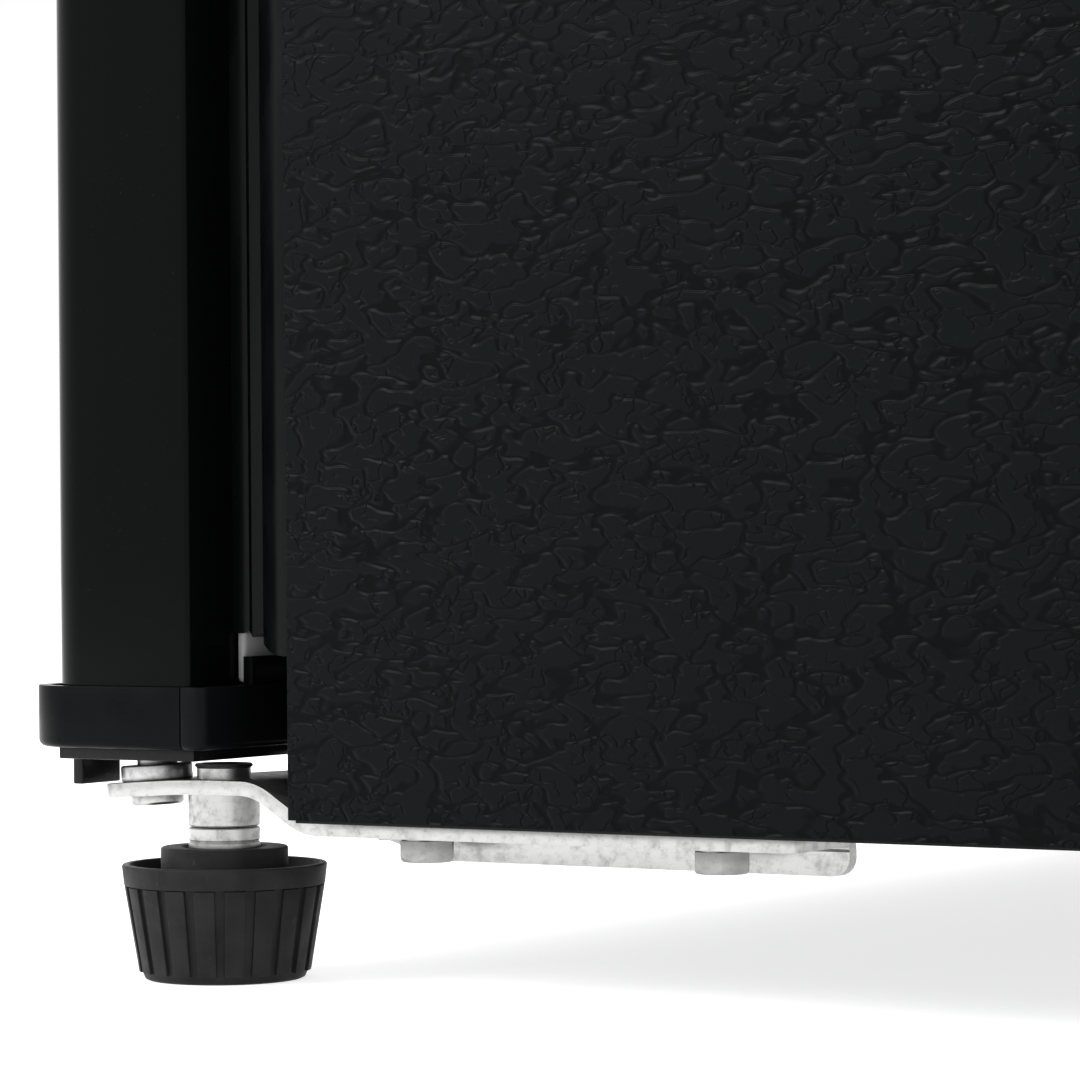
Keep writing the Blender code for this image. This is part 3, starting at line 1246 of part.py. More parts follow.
def compressor_mount(look):
    """Mounting plate of the compressor on its four resilient feet."""
    x, y, z = compressor_base()
    low = z - FIT - MOUNT_THICKNESS
    a, b = MOUNT_HALF_LENGTH, MOUNT_HALF_WIDTH
    mesh = bmesh.new()
    block(mesh, (x - a, y - b, low), (x + a, y + b, low + MOUNT_THICKNESS))
    plate = finish("compressor_mount", mesh, look)
    for sx in (-1, 1):
        for sy in (-1, 1):
            foot = bmesh.new()
            centre = (x + sx * (a - MOUNT_FOOT_MARGIN), y + sy * (b - MOUNT_FOOT_MARGIN), 0)
            radius, waist = MOUNT_FOOT_RADIUS, MOUNT_FOOT_WAIST
            top = low + MOUNT_THICKNESS / 2
            bottom = low - MOUNT_FOOT_HEIGHT
            middle = low - MOUNT_FOOT_HEIGHT / 2
            turned(foot, [(0, bottom), (radius, bottom), (waist, middle), (radius, low), (radius, top), (0, top)],
                   centre, SMALL_ROUND)
            join(plate, foot)
    return plate


def compressor(look):
    """Hermetic compressor: two drawn half shells welded at a proud seam."""
    x, y, z = compressor_base()
    rx, ry = COMPRESSOR_RADIUS_X, COMPRESSOR_RADIUS_Y
    seam, proud, height = COMPRESSOR_SEAM, COMPRESSOR_SEAM_PROUD, COMPRESSOR_HEIGHT
    levels = [(scale, seam * share) for scale, share in COMPRESSOR_BOWL] + [(1.0, seam - proud / 2)]
    loops = []

    def ellipse(scale, extra, h):
        turns = [2 * math.pi * i / ROUND for i in range(ROUND)]
        return [(x + (rx * scale + extra) * math.cos(t), y + (ry * scale + extra) * math.sin(t), z + h) for t in turns]

    for scale, h in levels:
        loops.append(ellipse(scale, 0, h))
    loops.append(ellipse(1.0, proud, seam - proud / 2))
    loops.append(ellipse(1.0, proud, seam + proud / 2))
    turns = [math.radians(degrees) for degrees in COMPRESSOR_DOME]
    dome = (height - seam - proud / 2) / math.sin(turns[-1])
    for turn in turns:
        loops.append(ellipse(math.cos(turn), 0, seam + proud / 2 + dome * math.sin(turn)))
    mesh = bmesh.new()
    loft(mesh, loops)
    return finish("compressor", mesh, look)


def terminal_place():
    """Inner face, centre line and underside of the terminal box."""
    x, y, z = compressor_base()
    return x + COMPRESSOR_RADIUS_X + COMPRESSOR_SEAM_PROUD + FIT, y, z


def terminal_box(look):
    """Cover over the compressor's terminals, relay and overload switch."""
    x, y, z = terminal_place()
    size_x, size_y, size_z = TERMINAL_SIZE
    bevel = TERMINAL_BEVEL
    outline = [(y - size_y / 2, z), (y + size_y / 2, z), (y + size_y / 2, z + size_z - bevel),
               (y + size_y / 2 - bevel, z + size_z), (y - size_y / 2 + bevel, z + size_z),
               (y - size_y / 2, z + size_z - bevel)]
    mesh = bmesh.new()
    prism(mesh, outline, "x", x, x + size_x)
    return finish("terminal_box", mesh, look)


def mains_inlet(look):
    """Bushed opening at the back of the terminal box for the mains lead."""
    x, y, z = terminal_place()
    size_x, size_y, size_z = TERMINAL_SIZE
    y0 = y + size_y / 2 + FIT
    flange = INLET_LENGTH / 4
    radius, (neck, end) = INLET_RADIUS, INLET_NECK_RADII
    profile = [(INLET_BORE, y0), (radius, y0), (radius, y0 + flange), (neck, y0 + flange),
               (end, y0 + INLET_LENGTH), (INLET_BORE, y0 + INLET_LENGTH)]
    mesh = bmesh.new()
    turned(mesh, profile, (x + size_x / 2, 0, z + size_z / 2), SMALL_ROUND, axis="y")
    return finish("mains_inlet", mesh, look)


def evaporation_pan(look):
    """Open pan on top of the compressor, where defrost water dries off."""
    x, y, z = compressor_base()
    z0 = z + COMPRESSOR_HEIGHT + FIT
    a, b, wall = PAN_HALF_LENGTH, PAN_HALF_WIDTH, PAN_WALL

    def plan(inset):
        return [(x - a + inset, y - b + inset), (x + a - inset, y - b + inset),
                (x + a - inset, y + b - inset), (x - a + inset, y + b - inset)]
    mesh = bmesh.new()
    loft(mesh, [level(plan(0), z0), level(plan(0), z0 + PAN_HEIGHT),
                level(plan(wall), z0 + PAN_HEIGHT), level(plan(wall), z0 + wall)])
    return finish("evaporation_pan", mesh, look)


def condenser_corners():
    """Corners of the condenser's serpentine, from its inlet to its outlet."""
    corners = []
    top = TOP - CONDENSER_TOP_DROP
    for index in range(CONDENSER_PASSES):
        z = top - index * CONDENSER_PITCH
        sign = 1 if index % 2 == 0 else -1
        corners.append((sign * CONDENSER_HALF_WIDTH, CONDENSER_Y, z))
        corners.append((-sign * CONDENSER_HALF_WIDTH, CONDENSER_Y, z))
    corners[0] = (CONDENSER_HALF_WIDTH + CONDENSER_TUBE + FIT + 2 * PIPE_RADIUS, CONDENSER_Y, top)
    return corners


def condenser_coil(look):
    """Serpentine steel tube behind the cabinet that gives off the heat."""
    corners = condenser_corners()
    mesh = bmesh.new()
    tube(mesh, rounded_route(corners, BEND_RADIUS, 3), CONDENSER_TUBE)
    return finish("condenser_coil", mesh, look)


def condenser_strap(name, look, x):
    """Upright strip whose folded feet hold the condenser off the back panel."""
    y1 = CONDENSER_Y - CONDENSER_TUBE - FIT
    y0 = y1 - STRAP_THICKNESS
    wall = BACK - SHEET
    top = TOP - CONDENSER_TOP_DROP + STRAP_FOOT
    low = TOP - CONDENSER_TOP_DROP - (CONDENSER_PASSES - 1) * CONDENSER_PITCH - STRAP_FOOT
    t = STRAP_THICKNESS
    outline = [
        (y1, low), (y1, top), (wall, top), (wall, top - STRAP_FOOT), (wall + t, top - STRAP_FOOT),
        (wall + t, top - t), (y0, top - t), (y0, low + t), (wall + t, low + t),
        (wall + t, low + STRAP_FOOT), (wall, low + STRAP_FOOT), (wall, low),
    ]
    mesh = bmesh.new()
    prism(mesh, outline, "x", x - STRAP_WIDTH / 2, x + STRAP_WIDTH / 2)
    return finish(name, mesh, look)


def filter_drier(look):
    """Copper filter drier at the condenser's outlet."""
    r, length, neck = DRIER_RADIUS, DRIER_LENGTH, DRIER_NECK
    outlet = condenser_corners()[-1]
    x = outlet[0] + neck
    y = CONDENSER_Y - CONDENSER_TUBE - FIT - neck
    z = outlet[2] + CONDENSER_TUBE - length
    tip, shoulder = DRIER_NECK_LENGTH, DRIER_NECK_LENGTH + DRIER_TAPER_LENGTH
    profile = [(0, 0), (neck, 0), (neck, tip), (r, shoulder), (r, length - shoulder),
               (neck, length - tip), (neck, length), (0, length)]
    mesh = bmesh.new()
    turned(mesh, profile, (x, y, z), SMALL_ROUND)
    return finish("filter_drier", mesh, look)


def discharge_pipe(look):
    """Copper pipe from the compressor up to the condenser's inlet."""
    x, y, z = compressor_base()
    start_x = x + COMPRESSOR_RADIUS_X * 0.5
    start_y = y + COMPRESSOR_RADIUS_Y + COMPRESSOR_SEAM_PROUD + PIPE_RADIUS
    level_z = z + COMPRESSOR_SEAM
    inlet = condenser_corners()[0]
    side = inlet[0] - PIPE_RADIUS
    rear = BACK + CONDENSER_REACH - PIPE_RADIUS
    route = [(start_x, start_y, level_z), (start_x, rear, level_z),
             (side, rear, level_z), (side, rear, inlet[2] - CONDENSER_TUBE - FIT)]
    mesh = bmesh.new()
    tube(mesh, rounded_route(route, BEND_RADIUS), PIPE_RADIUS)
    return finish("discharge_pipe", mesh, look)


def suction_pipe(look):
    """Insulated return pipe from the evaporator down to the compressor."""
    x, y, z = compressor_base()
    entry_x, entry_z = suction_entry()
    start = chiller_box()[1][1] + FIT
    drop_y = BACK + PIPE_RADIUS + 2 * FIT
    end_x = x - COMPRESSOR_RADIUS_X * 0.5
    end_z = z + COMPRESSOR_SEAM + COMPRESSOR_SEAM_PROUD * 2
    route = [(entry_x, start, entry_z), (entry_x, drop_y + BEND_RADIUS / 3, entry_z),
             (entry_x, drop_y + BEND_RADIUS / 3, end_z), (end_x, drop_y + BEND_RADIUS / 3, end_z),
             (end_x, y + COMPRESSOR_RADIUS_Y + PIPE_RADIUS, end_z)]
    mesh = bmesh.new()
    tube(mesh, rounded_route(route, BEND_RADIUS / 2), PIPE_RADIUS)
    return finish("suction_pipe", mesh, look)


# ------------------------------------------------------------------- assembly
def pivot_empty(name, place, children):
    """Parent the children to an empty that marks a joint's axis."""
    empty = bpy.data.objects.new(name, None)
    empty.location = place
    bpy.context.collection.objects.link(empty)
    bpy.context.view_layer.update()
    for child in children:
        child.parent = empty
        child.matrix_parent_inverse = empty.matrix_world.inverted()


def build():
    """Model every sub-part."""
    for old in list(bpy.data.objects):
        bpy.data.objects.remove(old, do_unlink=True)
    look = make_materials()

    cabinet_wrapper(look["embossed_steel"])
    base = base_panel(look["galvanised"])
    back_panel(look["galvanised"])
    foam = cabinet_foam(look["foam"])
    inner_liner(look["liner_white"])
    for piece in (base, foam):
        bolt_hole_cutters(piece, ARM_UNDERSIDE, ARM_TOP + 2 * BOLT_LENGTH)

    door = [
        door_skin(look["gloss_black"]),
        door_cap("door_cap_bottom", look["moulded_black"], CAP_BOTTOM, 1),
        door_cap("door_cap_top", look["moulded_black"], CAP_TOP, -1),
        handle_cup(look["moulded_black"]),
        door_foam(look["foam"]),
        door_liner(look["liner_white"]),
        door_gasket(look["gasket_black"]),
        door_bush("door_bush_lower", look["moulded_black"], CAP_BOTTOM, 1),
        door_bush("door_bush_upper", look["moulded_black"], CAP_TOP, -1),
        door_stop_plate(look["rear_black"]),
    ]
    recess = bmesh.new()
    block(recess, *grown(handle_box(), FIT, CAP_PLATE))
    cut(door[2], recess)
    for name, floor in BIN_HEIGHTS.items():
        door.append(door_bin(name, look["liner_white"], floor))
    pivot_empty("door_axis", (PIVOT_X, PIVOT_Y, CAP_BOTTOM), door)

    foot_bracket("lower_hinge_bracket", look["zinc"], 1, True)
    foot_bracket("left_foot_bracket", look["zinc"], -1, False)
    for side, label in ((1, "lower_hinge_bolt"), (-1, "left_bracket_bolt")):
        for place, end in zip(BOLT_PLACES, ("front", "rear")):
            hex_bolt(label + "_" + end, look["zinc"], side, place)
    lower_hinge_pin(look["zinc"])
    lower_hinge_washer(look["zinc"])
    upper_hinge_bracket(look["zinc"])
    upper_hinge_pin(look["zinc"])
    for place, end in zip(TOP_SCREW_PLACES, ("front", "rear")):
        top_screw("upper_hinge_screw_" + end, look["zinc"], place)
        hole = (PIVOT_X - TOP_SCREW_INSET, FRONT + place)
        radius = TOP_SCREW_RADIUS + BORE_CLEARANCE
        for name in ("cabinet_wrapper", "cabinet_foam"):
            target = bpy.data.objects[name]
            cut(target, cylinder_cutter(hole, radius, TOP - TOP_SCREW_LENGTH - BRACKET_THICKNESS, TOP + SHEET))
    upper_hinge_cover(look["moulded_black"])

    for side, label in ((1, "right"), (-1, "left")):
        foot_bush("foot_bush_" + label, look["zinc"], side)
        foot_stud("foot_stud_" + label, look["zinc"], side)
        foot_cup("foot_cup_" + label, look["foot_black"], side)
        rear_foot("rear_foot_" + label, look["foot_black"], side)

    evaporator(look["aluminium"])
    evaporator_hanger(look["liner_white"])
    chill_flap(look["liner_white"])
    drip_tray(look["liner_white"])
    drip_tray_frame(look["liner_white"])
    shelf_glass(look["clear_shelf"])
    shelf_trim(look["liner_white"])
    thermostat_housing(look["liner_white"])
    thermostat_dial(look["liner_white"])

    compressor_tray(look["galvanised"])
    compressor_mount(look["rear_black"])
    compressor(look["compressor_black"])
    terminal_box(look["moulded_black"])
    mains_inlet(look["moulded_black"])
    evaporation_pan(look["moulded_black"])
    condenser_coil(look["rear_black"])
    for sign, label in ((1, "right"), (-1, "left")):
        condenser_strap("condenser_strap_" + label, look["rear_black"], sign * STRAP_OFFSET)
    filter_drier(look["copper"])
    discharge_pipe(look["copper"])
    suction_pipe(look["copper"])


build()
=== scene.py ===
import math

import bmesh
import bpy
from mathutils import Matrix, Vector


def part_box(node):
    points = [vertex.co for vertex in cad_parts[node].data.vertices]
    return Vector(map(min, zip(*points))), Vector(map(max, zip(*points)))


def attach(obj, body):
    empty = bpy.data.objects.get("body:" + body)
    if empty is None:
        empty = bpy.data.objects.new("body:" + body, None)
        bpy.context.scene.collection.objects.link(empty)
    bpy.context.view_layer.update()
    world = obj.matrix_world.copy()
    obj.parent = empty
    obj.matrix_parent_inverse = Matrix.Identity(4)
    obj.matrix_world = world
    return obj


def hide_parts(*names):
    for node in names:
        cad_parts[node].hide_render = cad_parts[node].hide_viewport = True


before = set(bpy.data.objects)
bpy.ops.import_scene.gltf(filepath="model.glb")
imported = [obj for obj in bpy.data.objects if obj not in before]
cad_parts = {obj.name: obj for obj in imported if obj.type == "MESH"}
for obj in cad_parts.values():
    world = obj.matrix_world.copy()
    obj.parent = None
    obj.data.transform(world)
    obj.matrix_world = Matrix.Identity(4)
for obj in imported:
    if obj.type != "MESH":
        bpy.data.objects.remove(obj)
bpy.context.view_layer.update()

bl_info = {
    "name": "Compact refrigerator",
    "version": (1, 0, 0),
    "blender": (4, 5, 0),
    "location": "3D View > Sidebar > Fridge",
    "description": "Detailed compact refrigerator over its CAD frame",
    "category": "Add Mesh",
}

MM = 0.001

# Places that several pieces share, from the CAD nodes.
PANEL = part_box("cabinet_wrapper")
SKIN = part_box("door_skin")
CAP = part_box("door_cap_bottom")
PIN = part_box("lower_hinge_pin")
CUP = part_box("foot_cup_right")
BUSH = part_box("foot_bush_right")
SIDE_X = PANEL[1].x
FRONT_Y = PANEL[0].y
PIVOT = Vector(((PIN[0].x + PIN[1].x) / 2, (PIN[0].y + PIN[1].y) / 2, 0))
FOOT = Vector(((CUP[0].x + CUP[1].x) / 2, (CUP[0].y + CUP[1].y) / 2, 0))
SMOOTH = math.radians(32)
PIPE_SMOOTH = math.radians(60)
DOUBLES = 1e-6


# ------------------------------------------------------------------ settings
def metres(label, text, default):
    """A length that the sidebar shows in the scene's units."""
    return bpy.props.FloatProperty(name=label, description=text, default=default, min=0, unit="LENGTH", precision=5)


def colour(label, text, default):
    """A linear colour with a swatch."""
    return bpy.props.FloatVectorProperty(name=label, description=text, default=default, size=3, min=0, max=1,
                                         subtype="COLOR")


class FridgeSizes(bpy.types.PropertyGroup):
    """Sizes of the details that the CAD frame leaves plain."""

    plate: metres("Bracket sheet", "Thickness of the lower hinge bracket", 2.8 * MM)
    plate_edge: metres("Bracket edge", "Rounding of the bracket's sheared edges", 0.35 * MM)
    bend: metres("Bracket bend", "Radius of the bracket's bends", 4.0 * MM)
    droop: metres("Ear droop", "How far the hinge ear dips at its tip", 1.6 * MM)
    flange: metres("Bracket flange", "Height of the bracket's stiffening flange", 8.5 * MM)
    rib_depth: metres("Foot panel depth", "How far the foot's grip panels stand proud", 0.7 * MM)
    ribs: bpy.props.IntProperty(name="Foot panels", description="Grip panels round each front foot", default=20, min=6)
    bolt_flats: metres("Bolt flats", "Width across the flats of the bracket bolts", 10 * MM)
    cap_edge: metres("Cap edge", "Chamfer on the door cap's lower edge", 1.4 * MM)
    fold: metres("Panel fold", "Outer radius of the side panel's front fold", 0.4 * MM)
    emboss: metres("Emboss height", "Height of the pattern rolled into the painted sheet", 0.22 * MM)
    emboss_pitch: metres("Emboss pitch", "Distance between ridges of the rolled pattern", 2.5 * MM)
    wire: metres("Condenser wire", "Diameter of the condenser's cooling wires", 1.4 * MM)
    wire_pitch: metres("Wire pitch", "Distance between the condenser's cooling wires", 6.0 * MM)


class FridgeColours(bpy.types.PropertyGroup):
    """Base colours of the finishes."""

    panel: colour("Cabinet paint", "Embossed black paint of the cabinet", (0.0050, 0.0066, 0.0070))
    door: colour("Door paint", "Glossy black paint of the door", (0.0030, 0.0034, 0.0036))
    mould: colour("Moulded black", "Black plastic of the caps and covers", (0.0046, 0.0050, 0.0056))
    seal: colour("Gasket", "Soft black vinyl of the door seal", (0.0032, 0.0036, 0.0038))
    foot: colour("Foot", "Black plastic of the feet", (0.0205, 0.0205, 0.0205))
    zinc: colour("Zinc plate", "Bright zinc plate of the hinge hardware", (0.55, 0.55, 0.545))
    liner: colour("Liner", "White plastic of the interior", (0.78, 0.79, 0.78))
    foam: colour("Foam", "Insulating foam", (0.70, 0.60, 0.34))
    copper: colour("Copper", "Pipes of the cooling circuit", (0.72, 0.38, 0.24))


# ------------------------------------------------------------ modelling steps
def object_mode():
    if bpy.context.object and bpy.context.object.mode != "OBJECT":
        bpy.ops.object.mode_set(mode="OBJECT")


def select_only(piece=None):
    """Leaves only this piece selected and active, or nothing selected."""
    object_mode()
    bpy.ops.object.select_all(action="DESELECT")
    if piece:
        piece.select_set(True)
        bpy.context.view_layer.objects.active = piece


def settle():
    """Leaves the selected object at the origin, unturned and at scale 1."""
    bpy.ops.object.transform_apply(location=True, rotation=True, scale=True)


def added(name):
    """Names the primitive just added."""
    piece = bpy.context.object
    piece.name = piece.data.name = name
    return piece


def edit(piece):
    select_only(piece)
    bpy.ops.object.mode_set(mode="EDIT")
    bpy.ops.mesh.select_all(action="SELECT")


def pick(piece, kind, test):
    """Selects in edit mode by place: test gets a point, and a normal for a face or a direction for an edge."""
    bpy.ops.mesh.select_mode(type=kind)
    bpy.ops.mesh.select_all(action="DESELECT")
    mesh = bmesh.from_edit_mesh(piece.data)
    if kind == "VERT":
        chosen = [v for v in mesh.verts if test(v.co)]
    elif kind == "EDGE":
        chosen = [e for e in mesh.edges
                  if test((e.verts[0].co + e.verts[1].co) / 2, (e.verts[1].co - e.verts[0].co).normalized())]
    else:
        chosen = [f for f in mesh.faces if test(f.calc_center_median(), f.normal)]
    for item in chosen:
        item.select_set(True)
    bmesh.update_edit_mesh(piece.data)


def near(a, b, slack=2e-5):
    return abs(a - b) < slack


def extrude(by):
    bpy.ops.mesh.extrude_region_move(TRANSFORM_OT_translate={"value": by})


def extrude_edges(by):
    bpy.ops.mesh.extrude_edges_move(TRANSFORM_OT_translate={"value": by})


def bevel(width, steps=3, kind="EDGES"):
    bpy.ops.mesh.bevel(offset=width, segments=steps, affect=kind)


def tidy_mesh(piece):
    """Merges doubles and turns every face outwards."""
    edit(piece)
    bpy.ops.mesh.remove_doubles(threshold=DOUBLES)
    bpy.ops.mesh.select_all(action="SELECT")
    bpy.ops.mesh.normals_make_consistent(inside=False)
    object_mode()


def modifier(piece, kind, **settings):
    """Adds a modifier and applies it."""
    select_only(piece)
    made = piece.modifiers.new(kind.title(), kind)
    for key, value in settings.items():
        setattr(made, key, value)
    bpy.ops.object.modifier_apply(modifier=made.name)


def round_edges(piece, width, steps=2, angle=38):
    modifier(piece, "BEVEL", width=width, segments=steps, limit_method="ANGLE", angle_limit=math.radians(angle),
             harden_normals=False, use_clamp_overlap=True)


def cube(name, low, high):
    """A block between two corners, still to be shaped."""
    select_only()
    low, high = Vector(low), Vector(high)
    bpy.ops.mesh.primitive_cube_add(size=1, location=(low + high) / 2)
    piece = added(name)
    piece.scale = high - low
    settle()
    return piece


def put(piece, centre, turn=(0, 0, 0)):
    """Turns and moves a piece made about the world origin, and leaves its object at the origin."""
    select_only(piece)
    piece.rotation_euler = turn
    piece.location = centre
    settle()


UPRIGHT = (0, 0, 0)


def turned(name, profile, centre, sides=48, turn=UPRIGHT, ring=False):
    """A circle extruded and resized through (radius, height) stations; its ends are filled, or meet if it is a ring."""
    select_only()
    bpy.ops.mesh.primitive_circle_add(vertices=sides, radius=profile[0][0], location=(0, 0, profile[0][1]))
    piece = added(name)
    settle()
    edit(piece)
    if not ring:
        bpy.ops.mesh.edge_face_add()
        bpy.ops.mesh.select_mode(type="EDGE")
        pick(piece, "EDGE", lambda middle, along: True)
    for (r0, z0), (r1, z1) in zip(profile, profile[1:]):
        extrude_edges((0, 0, z1 - z0))
        bpy.ops.transform.resize(value=(r1 / r0, r1 / r0, 1), center_override=(0, 0, z1))
    if not ring:
        bpy.ops.mesh.edge_face_add()
    object_mode()
    tidy_mesh(piece)
    put(piece, centre, turn)
    return piece


def copied(name, node, rounding=0.0, steps=2, flatten=True):
    """A CAD node's shape as a new piece: merged, its flat faces joined up, and its edges rounded."""
    select_only()
    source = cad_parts[node]
    piece = bpy.data.objects.new(name, source.data.copy())
    piece.data.name = name
    bpy.context.collection.objects.link(piece)
    edit(piece)
    bpy.ops.mesh.remove_doubles(threshold=2 * DOUBLES)
    if flatten:
        bpy.ops.mesh.select_all(action="SELECT")
        bpy.ops.mesh.dissolve_limited(angle_limit=math.radians(0.5))
    object_mode()
    if rounding:
        round_edges(piece, rounding, steps)
    return piece


def repeated(piece, name, shift=(0, 0, 0), mirror=False):
    """A copy of a piece with its own mesh, moved or mirrored across the cabinet's middle."""
    again = piece.copy()
    again.data = piece.data.copy()
    again.name = again.data.name = name
    bpy.context.collection.objects.link(again)
    select_only(again)
    if mirror:
        again.scale.x = -1
    again.location = shift
    settle()
    if mirror:
        edit(again)
        bpy.ops.mesh.normals_make_consistent(inside=False)
        object_mode()
    return again


def joined(name, pieces):
    """Several meshes as one piece."""
    select_only(pieces[0])
    for piece in pieces:
        piece.select_set(True)
    bpy.ops.object.join()
    pieces[0].name = pieces[0].data.name = name
    return pieces[0]


def finished(piece, body, look, slot, *nodes, smooth=SMOOTH):
    """Paints a piece, lets it ride on its CAD body and stand for the nodes it replaces."""
    select_only(piece)
    bpy.ops.object.shade_smooth_by_angle(angle=smooth)
    piece.data.materials.clear()
    piece.data.materials.append(look)
    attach(piece, body)
    if nodes:
        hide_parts(*nodes)
    return piece


def traced(name, node, body, look, slot, rounding=0.0, steps=2, flatten=True, smooth=SMOOTH):
    """A CAD node's own shape, rounded and painted, in its place."""
    return finished(copied(name, node, rounding, steps, flatten), body, look, slot, node, smooth=smooth)


def painted(look, *nodes):
    """Gives CAD nodes whose shape is right their finish."""
    for name in nodes:
        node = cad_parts[name]
        node.data.materials.clear()
        node.data.materials.append(look)


# ----------------------------------------------------------------- materials
class Finish:
    """One procedural material, built up from patterns on Object coordinates."""

    def __init__(self, name, base, roughness, metallic=0.0, **sockets):
        self.material = bpy.data.materials.new(name)
        self.material.use_nodes = True
        self.nodes, self.links = self.material.node_tree.nodes, self.material.node_tree.links
        self.shader = self.nodes["Principled BSDF"]
        self.base = base
        self.place = self.nodes.new("ShaderNodeTexCoord").outputs["Object"]
        self.normal = None
        self.set("Base Color", (*base, 1))
        self.set("Roughness", roughness)
        self.set("Metallic", metallic)
        for key, value in sockets.items():
            self.set(key.replace("_", " "), value)

    def set(self, socket, value):
        self.shader.inputs[socket].default_value = value

    def node(self, kind, vector=None, **values):
        """A new node of this kind, with these values on its sockets."""
        made = self.nodes.new("ShaderNode" + kind)
        for key, value in values.items():
            made.inputs[key.replace("_", " ")].default_value = value
        if vector:
            self.links.new(vector, made.inputs["Vector"])
        return made

    def mapped(self, stretch):
        return self.node("Mapping", self.place, Scale=stretch).outputs["Vector"]

    def noise(self, scale, detail=3.0, roughness=0.55, stretch=(1, 1, 1), distortion=0.0):
        return self.node("TexNoise", self.mapped(stretch), Scale=scale, Detail=detail, Roughness=roughness,
                         Distortion=distortion).outputs["Fac"]

    def cells(self, scale, output="Distance"):
        return self.node("TexVoronoi", self.place, Scale=scale).outputs[output]

    def waves(self, scale, direction="X"):
        node = self.node("TexWave", self.place, Scale=scale)
        node.bands_direction = direction
        return node.outputs["Fac"]

    def shaped(self, pattern, start, end, low=0.0, high=1.0):
        """A pattern pushed between two levels, smoothly."""
        node = self.nodes.new("ShaderNodeMapRange")
        node.interpolation_type = "SMOOTHSTEP"
        for key, value in zip(("From Min", "From Max", "To Min", "To Max"), (start, end, low, high)):
            node.inputs[key].default_value = value
        self.links.new(pattern, node.inputs["Value"])
        return node.outputs["Result"]

    def combined(self, first, second=None, how="MULTIPLY"):
        """A pattern put together with another one, with a number, or worked on alone."""
        node = self.nodes.new("ShaderNodeMath")
        node.operation = how
        self.links.new(first, node.inputs[0])
        if isinstance(second, float):
            node.inputs[1].default_value = second
        elif second:
            self.links.new(second, node.inputs[1])
        return node.outputs[0]

    def contours(self, pattern, width):
        """Rounded ridges along the lines where a pattern passes its middle."""
        away = self.combined(self.combined(pattern, 0.5, "SUBTRACT"), how="ABSOLUTE")
        return self.shaped(away, width, 0.0)

    def tint(self, pattern, other):
        """Mixes the colour towards another where the pattern is high."""
        node = self.nodes.new("ShaderNodeMix")
        node.data_type = "RGBA"
        before = self.shader.inputs["Base Color"]
        if before.is_linked:
            self.links.new(before.links[0].from_socket, node.inputs["A"])
        else:
            node.inputs["A"].default_value = before.default_value
        node.inputs["B"].default_value = (*other, 1)
        self.links.new(pattern, node.inputs["Factor"])
        self.links.new(node.outputs["Result"], before)
        return self

    def shade(self, pattern, factor):
        """Mixes towards a darker or lighter shade of the base colour."""
        return self.tint(pattern, tuple(min(channel * factor, 1) for channel in self.base))

    def polish(self, pattern, low, high):
        """Lets the pattern set the roughness between two values."""
        self.links.new(self.shaped(pattern, 0.25, 0.75, low, high), self.shader.inputs["Roughness"])
        return self

    def relief(self, pattern, height, strength=1.0):
        """Adds bump of a real height in metres; several add up."""
        node = self.node("Bump", Distance=height, Strength=strength)
        self.links.new(pattern, node.inputs["Height"])
        if self.normal:
            self.links.new(self.normal, node.inputs["Normal"])
        self.normal = node.outputs["Normal"]
        self.links.new(self.normal, self.shader.inputs["Normal"])
        return self


def embossed_paint(colours, sizes):
    """Pre-painted sheet rolled with a fine leather-like pattern of short level ridges, its creases darkened with
    painted shade.
    """
    made = Finish("embossed_paint", colours.panel, 0.34, Specular_IOR_Level=0.05)
    pitch = 1 / sizes.emboss_pitch
    long_creases = made.contours(made.noise(pitch * 0.52, 1.2, 0.45, (0.50, 0.50, 1.0), 0.3), 0.075)
    short_creases = made.contours(made.noise(pitch * 0.85, 1.0, 0.5, (0.70, 0.70, 0.95), 0.2), 0.06)
    broken = made.shaped(made.noise(pitch * 0.35, 1.0, 0.5, (0.9, 0.9, 1.1)), 0.40, 0.60)
    creases = made.combined(long_creases, made.combined(short_creases, broken), "MAXIMUM")
    drift = made.noise(9, 2.0)
    # The darker drift is random tone in the paint; the creases are tinted towards near-black as painted shade in the
    # valleys.
    made.tint(made.shaped(drift, 0.42, 0.72, 0.0, 0.6), (0.0034, 0.0046, 0.0049)).tint(
        made.shaped(creases, 0.1, 0.9, 0.0, 0.75), (0.0012, 0.0015, 0.0016))
    made.polish(drift, 0.28, 0.40)
    made.relief(made.shaped(creases, 1.0, 0.0), sizes.emboss, 1.0)
    return made.material


def gloss_paint(colours):
    """Smooth black door paint with faint orange peel and a little dust."""
    made = Finish("door_gloss_paint", colours.door, 0.10, Specular_IOR_Level=0.045, Coat_Weight=0.08,
                  Coat_Roughness=0.05, Coat_IOR=1.25)
    peel = made.noise(260, 1.0, 0.4)
    haze = made.noise(38, 4.0, 0.6, (1, 1, 0.4))
    specks = made.shaped(made.noise(2600, 1.0), 0.74, 0.80, 0.0, 0.5)
    made.tint(specks, (0.05, 0.05, 0.052)).polish(haze, 0.07, 0.16).relief(peel, 0.012 * MM, 0.5)
    return made.material


def satin_mould(colours, name="moulded_black", base=None, roughness=0.33, specular=0.05):
    """Satin black plastic with a fine moulded grain and pale dust in it."""
    made = Finish(name, base or colours.mould, roughness, Specular_IOR_Level=specular)
    grain = made.noise(2400, 2.0, 0.6)
    cloud = made.noise(60, 4.0, 0.6)
    dust = made.shaped(made.noise(1500, 3.0, 0.7), 0.66, 0.78, 0.0, 0.35)
    made.shade(made.shaped(cloud, 0.35, 0.7), 1.35).tint(dust, (0.09, 0.09, 0.09))
    made.polish(cloud, roughness - 0.07, roughness + 0.08).relief(grain, 0.03 * MM, 0.6)
    return made.material


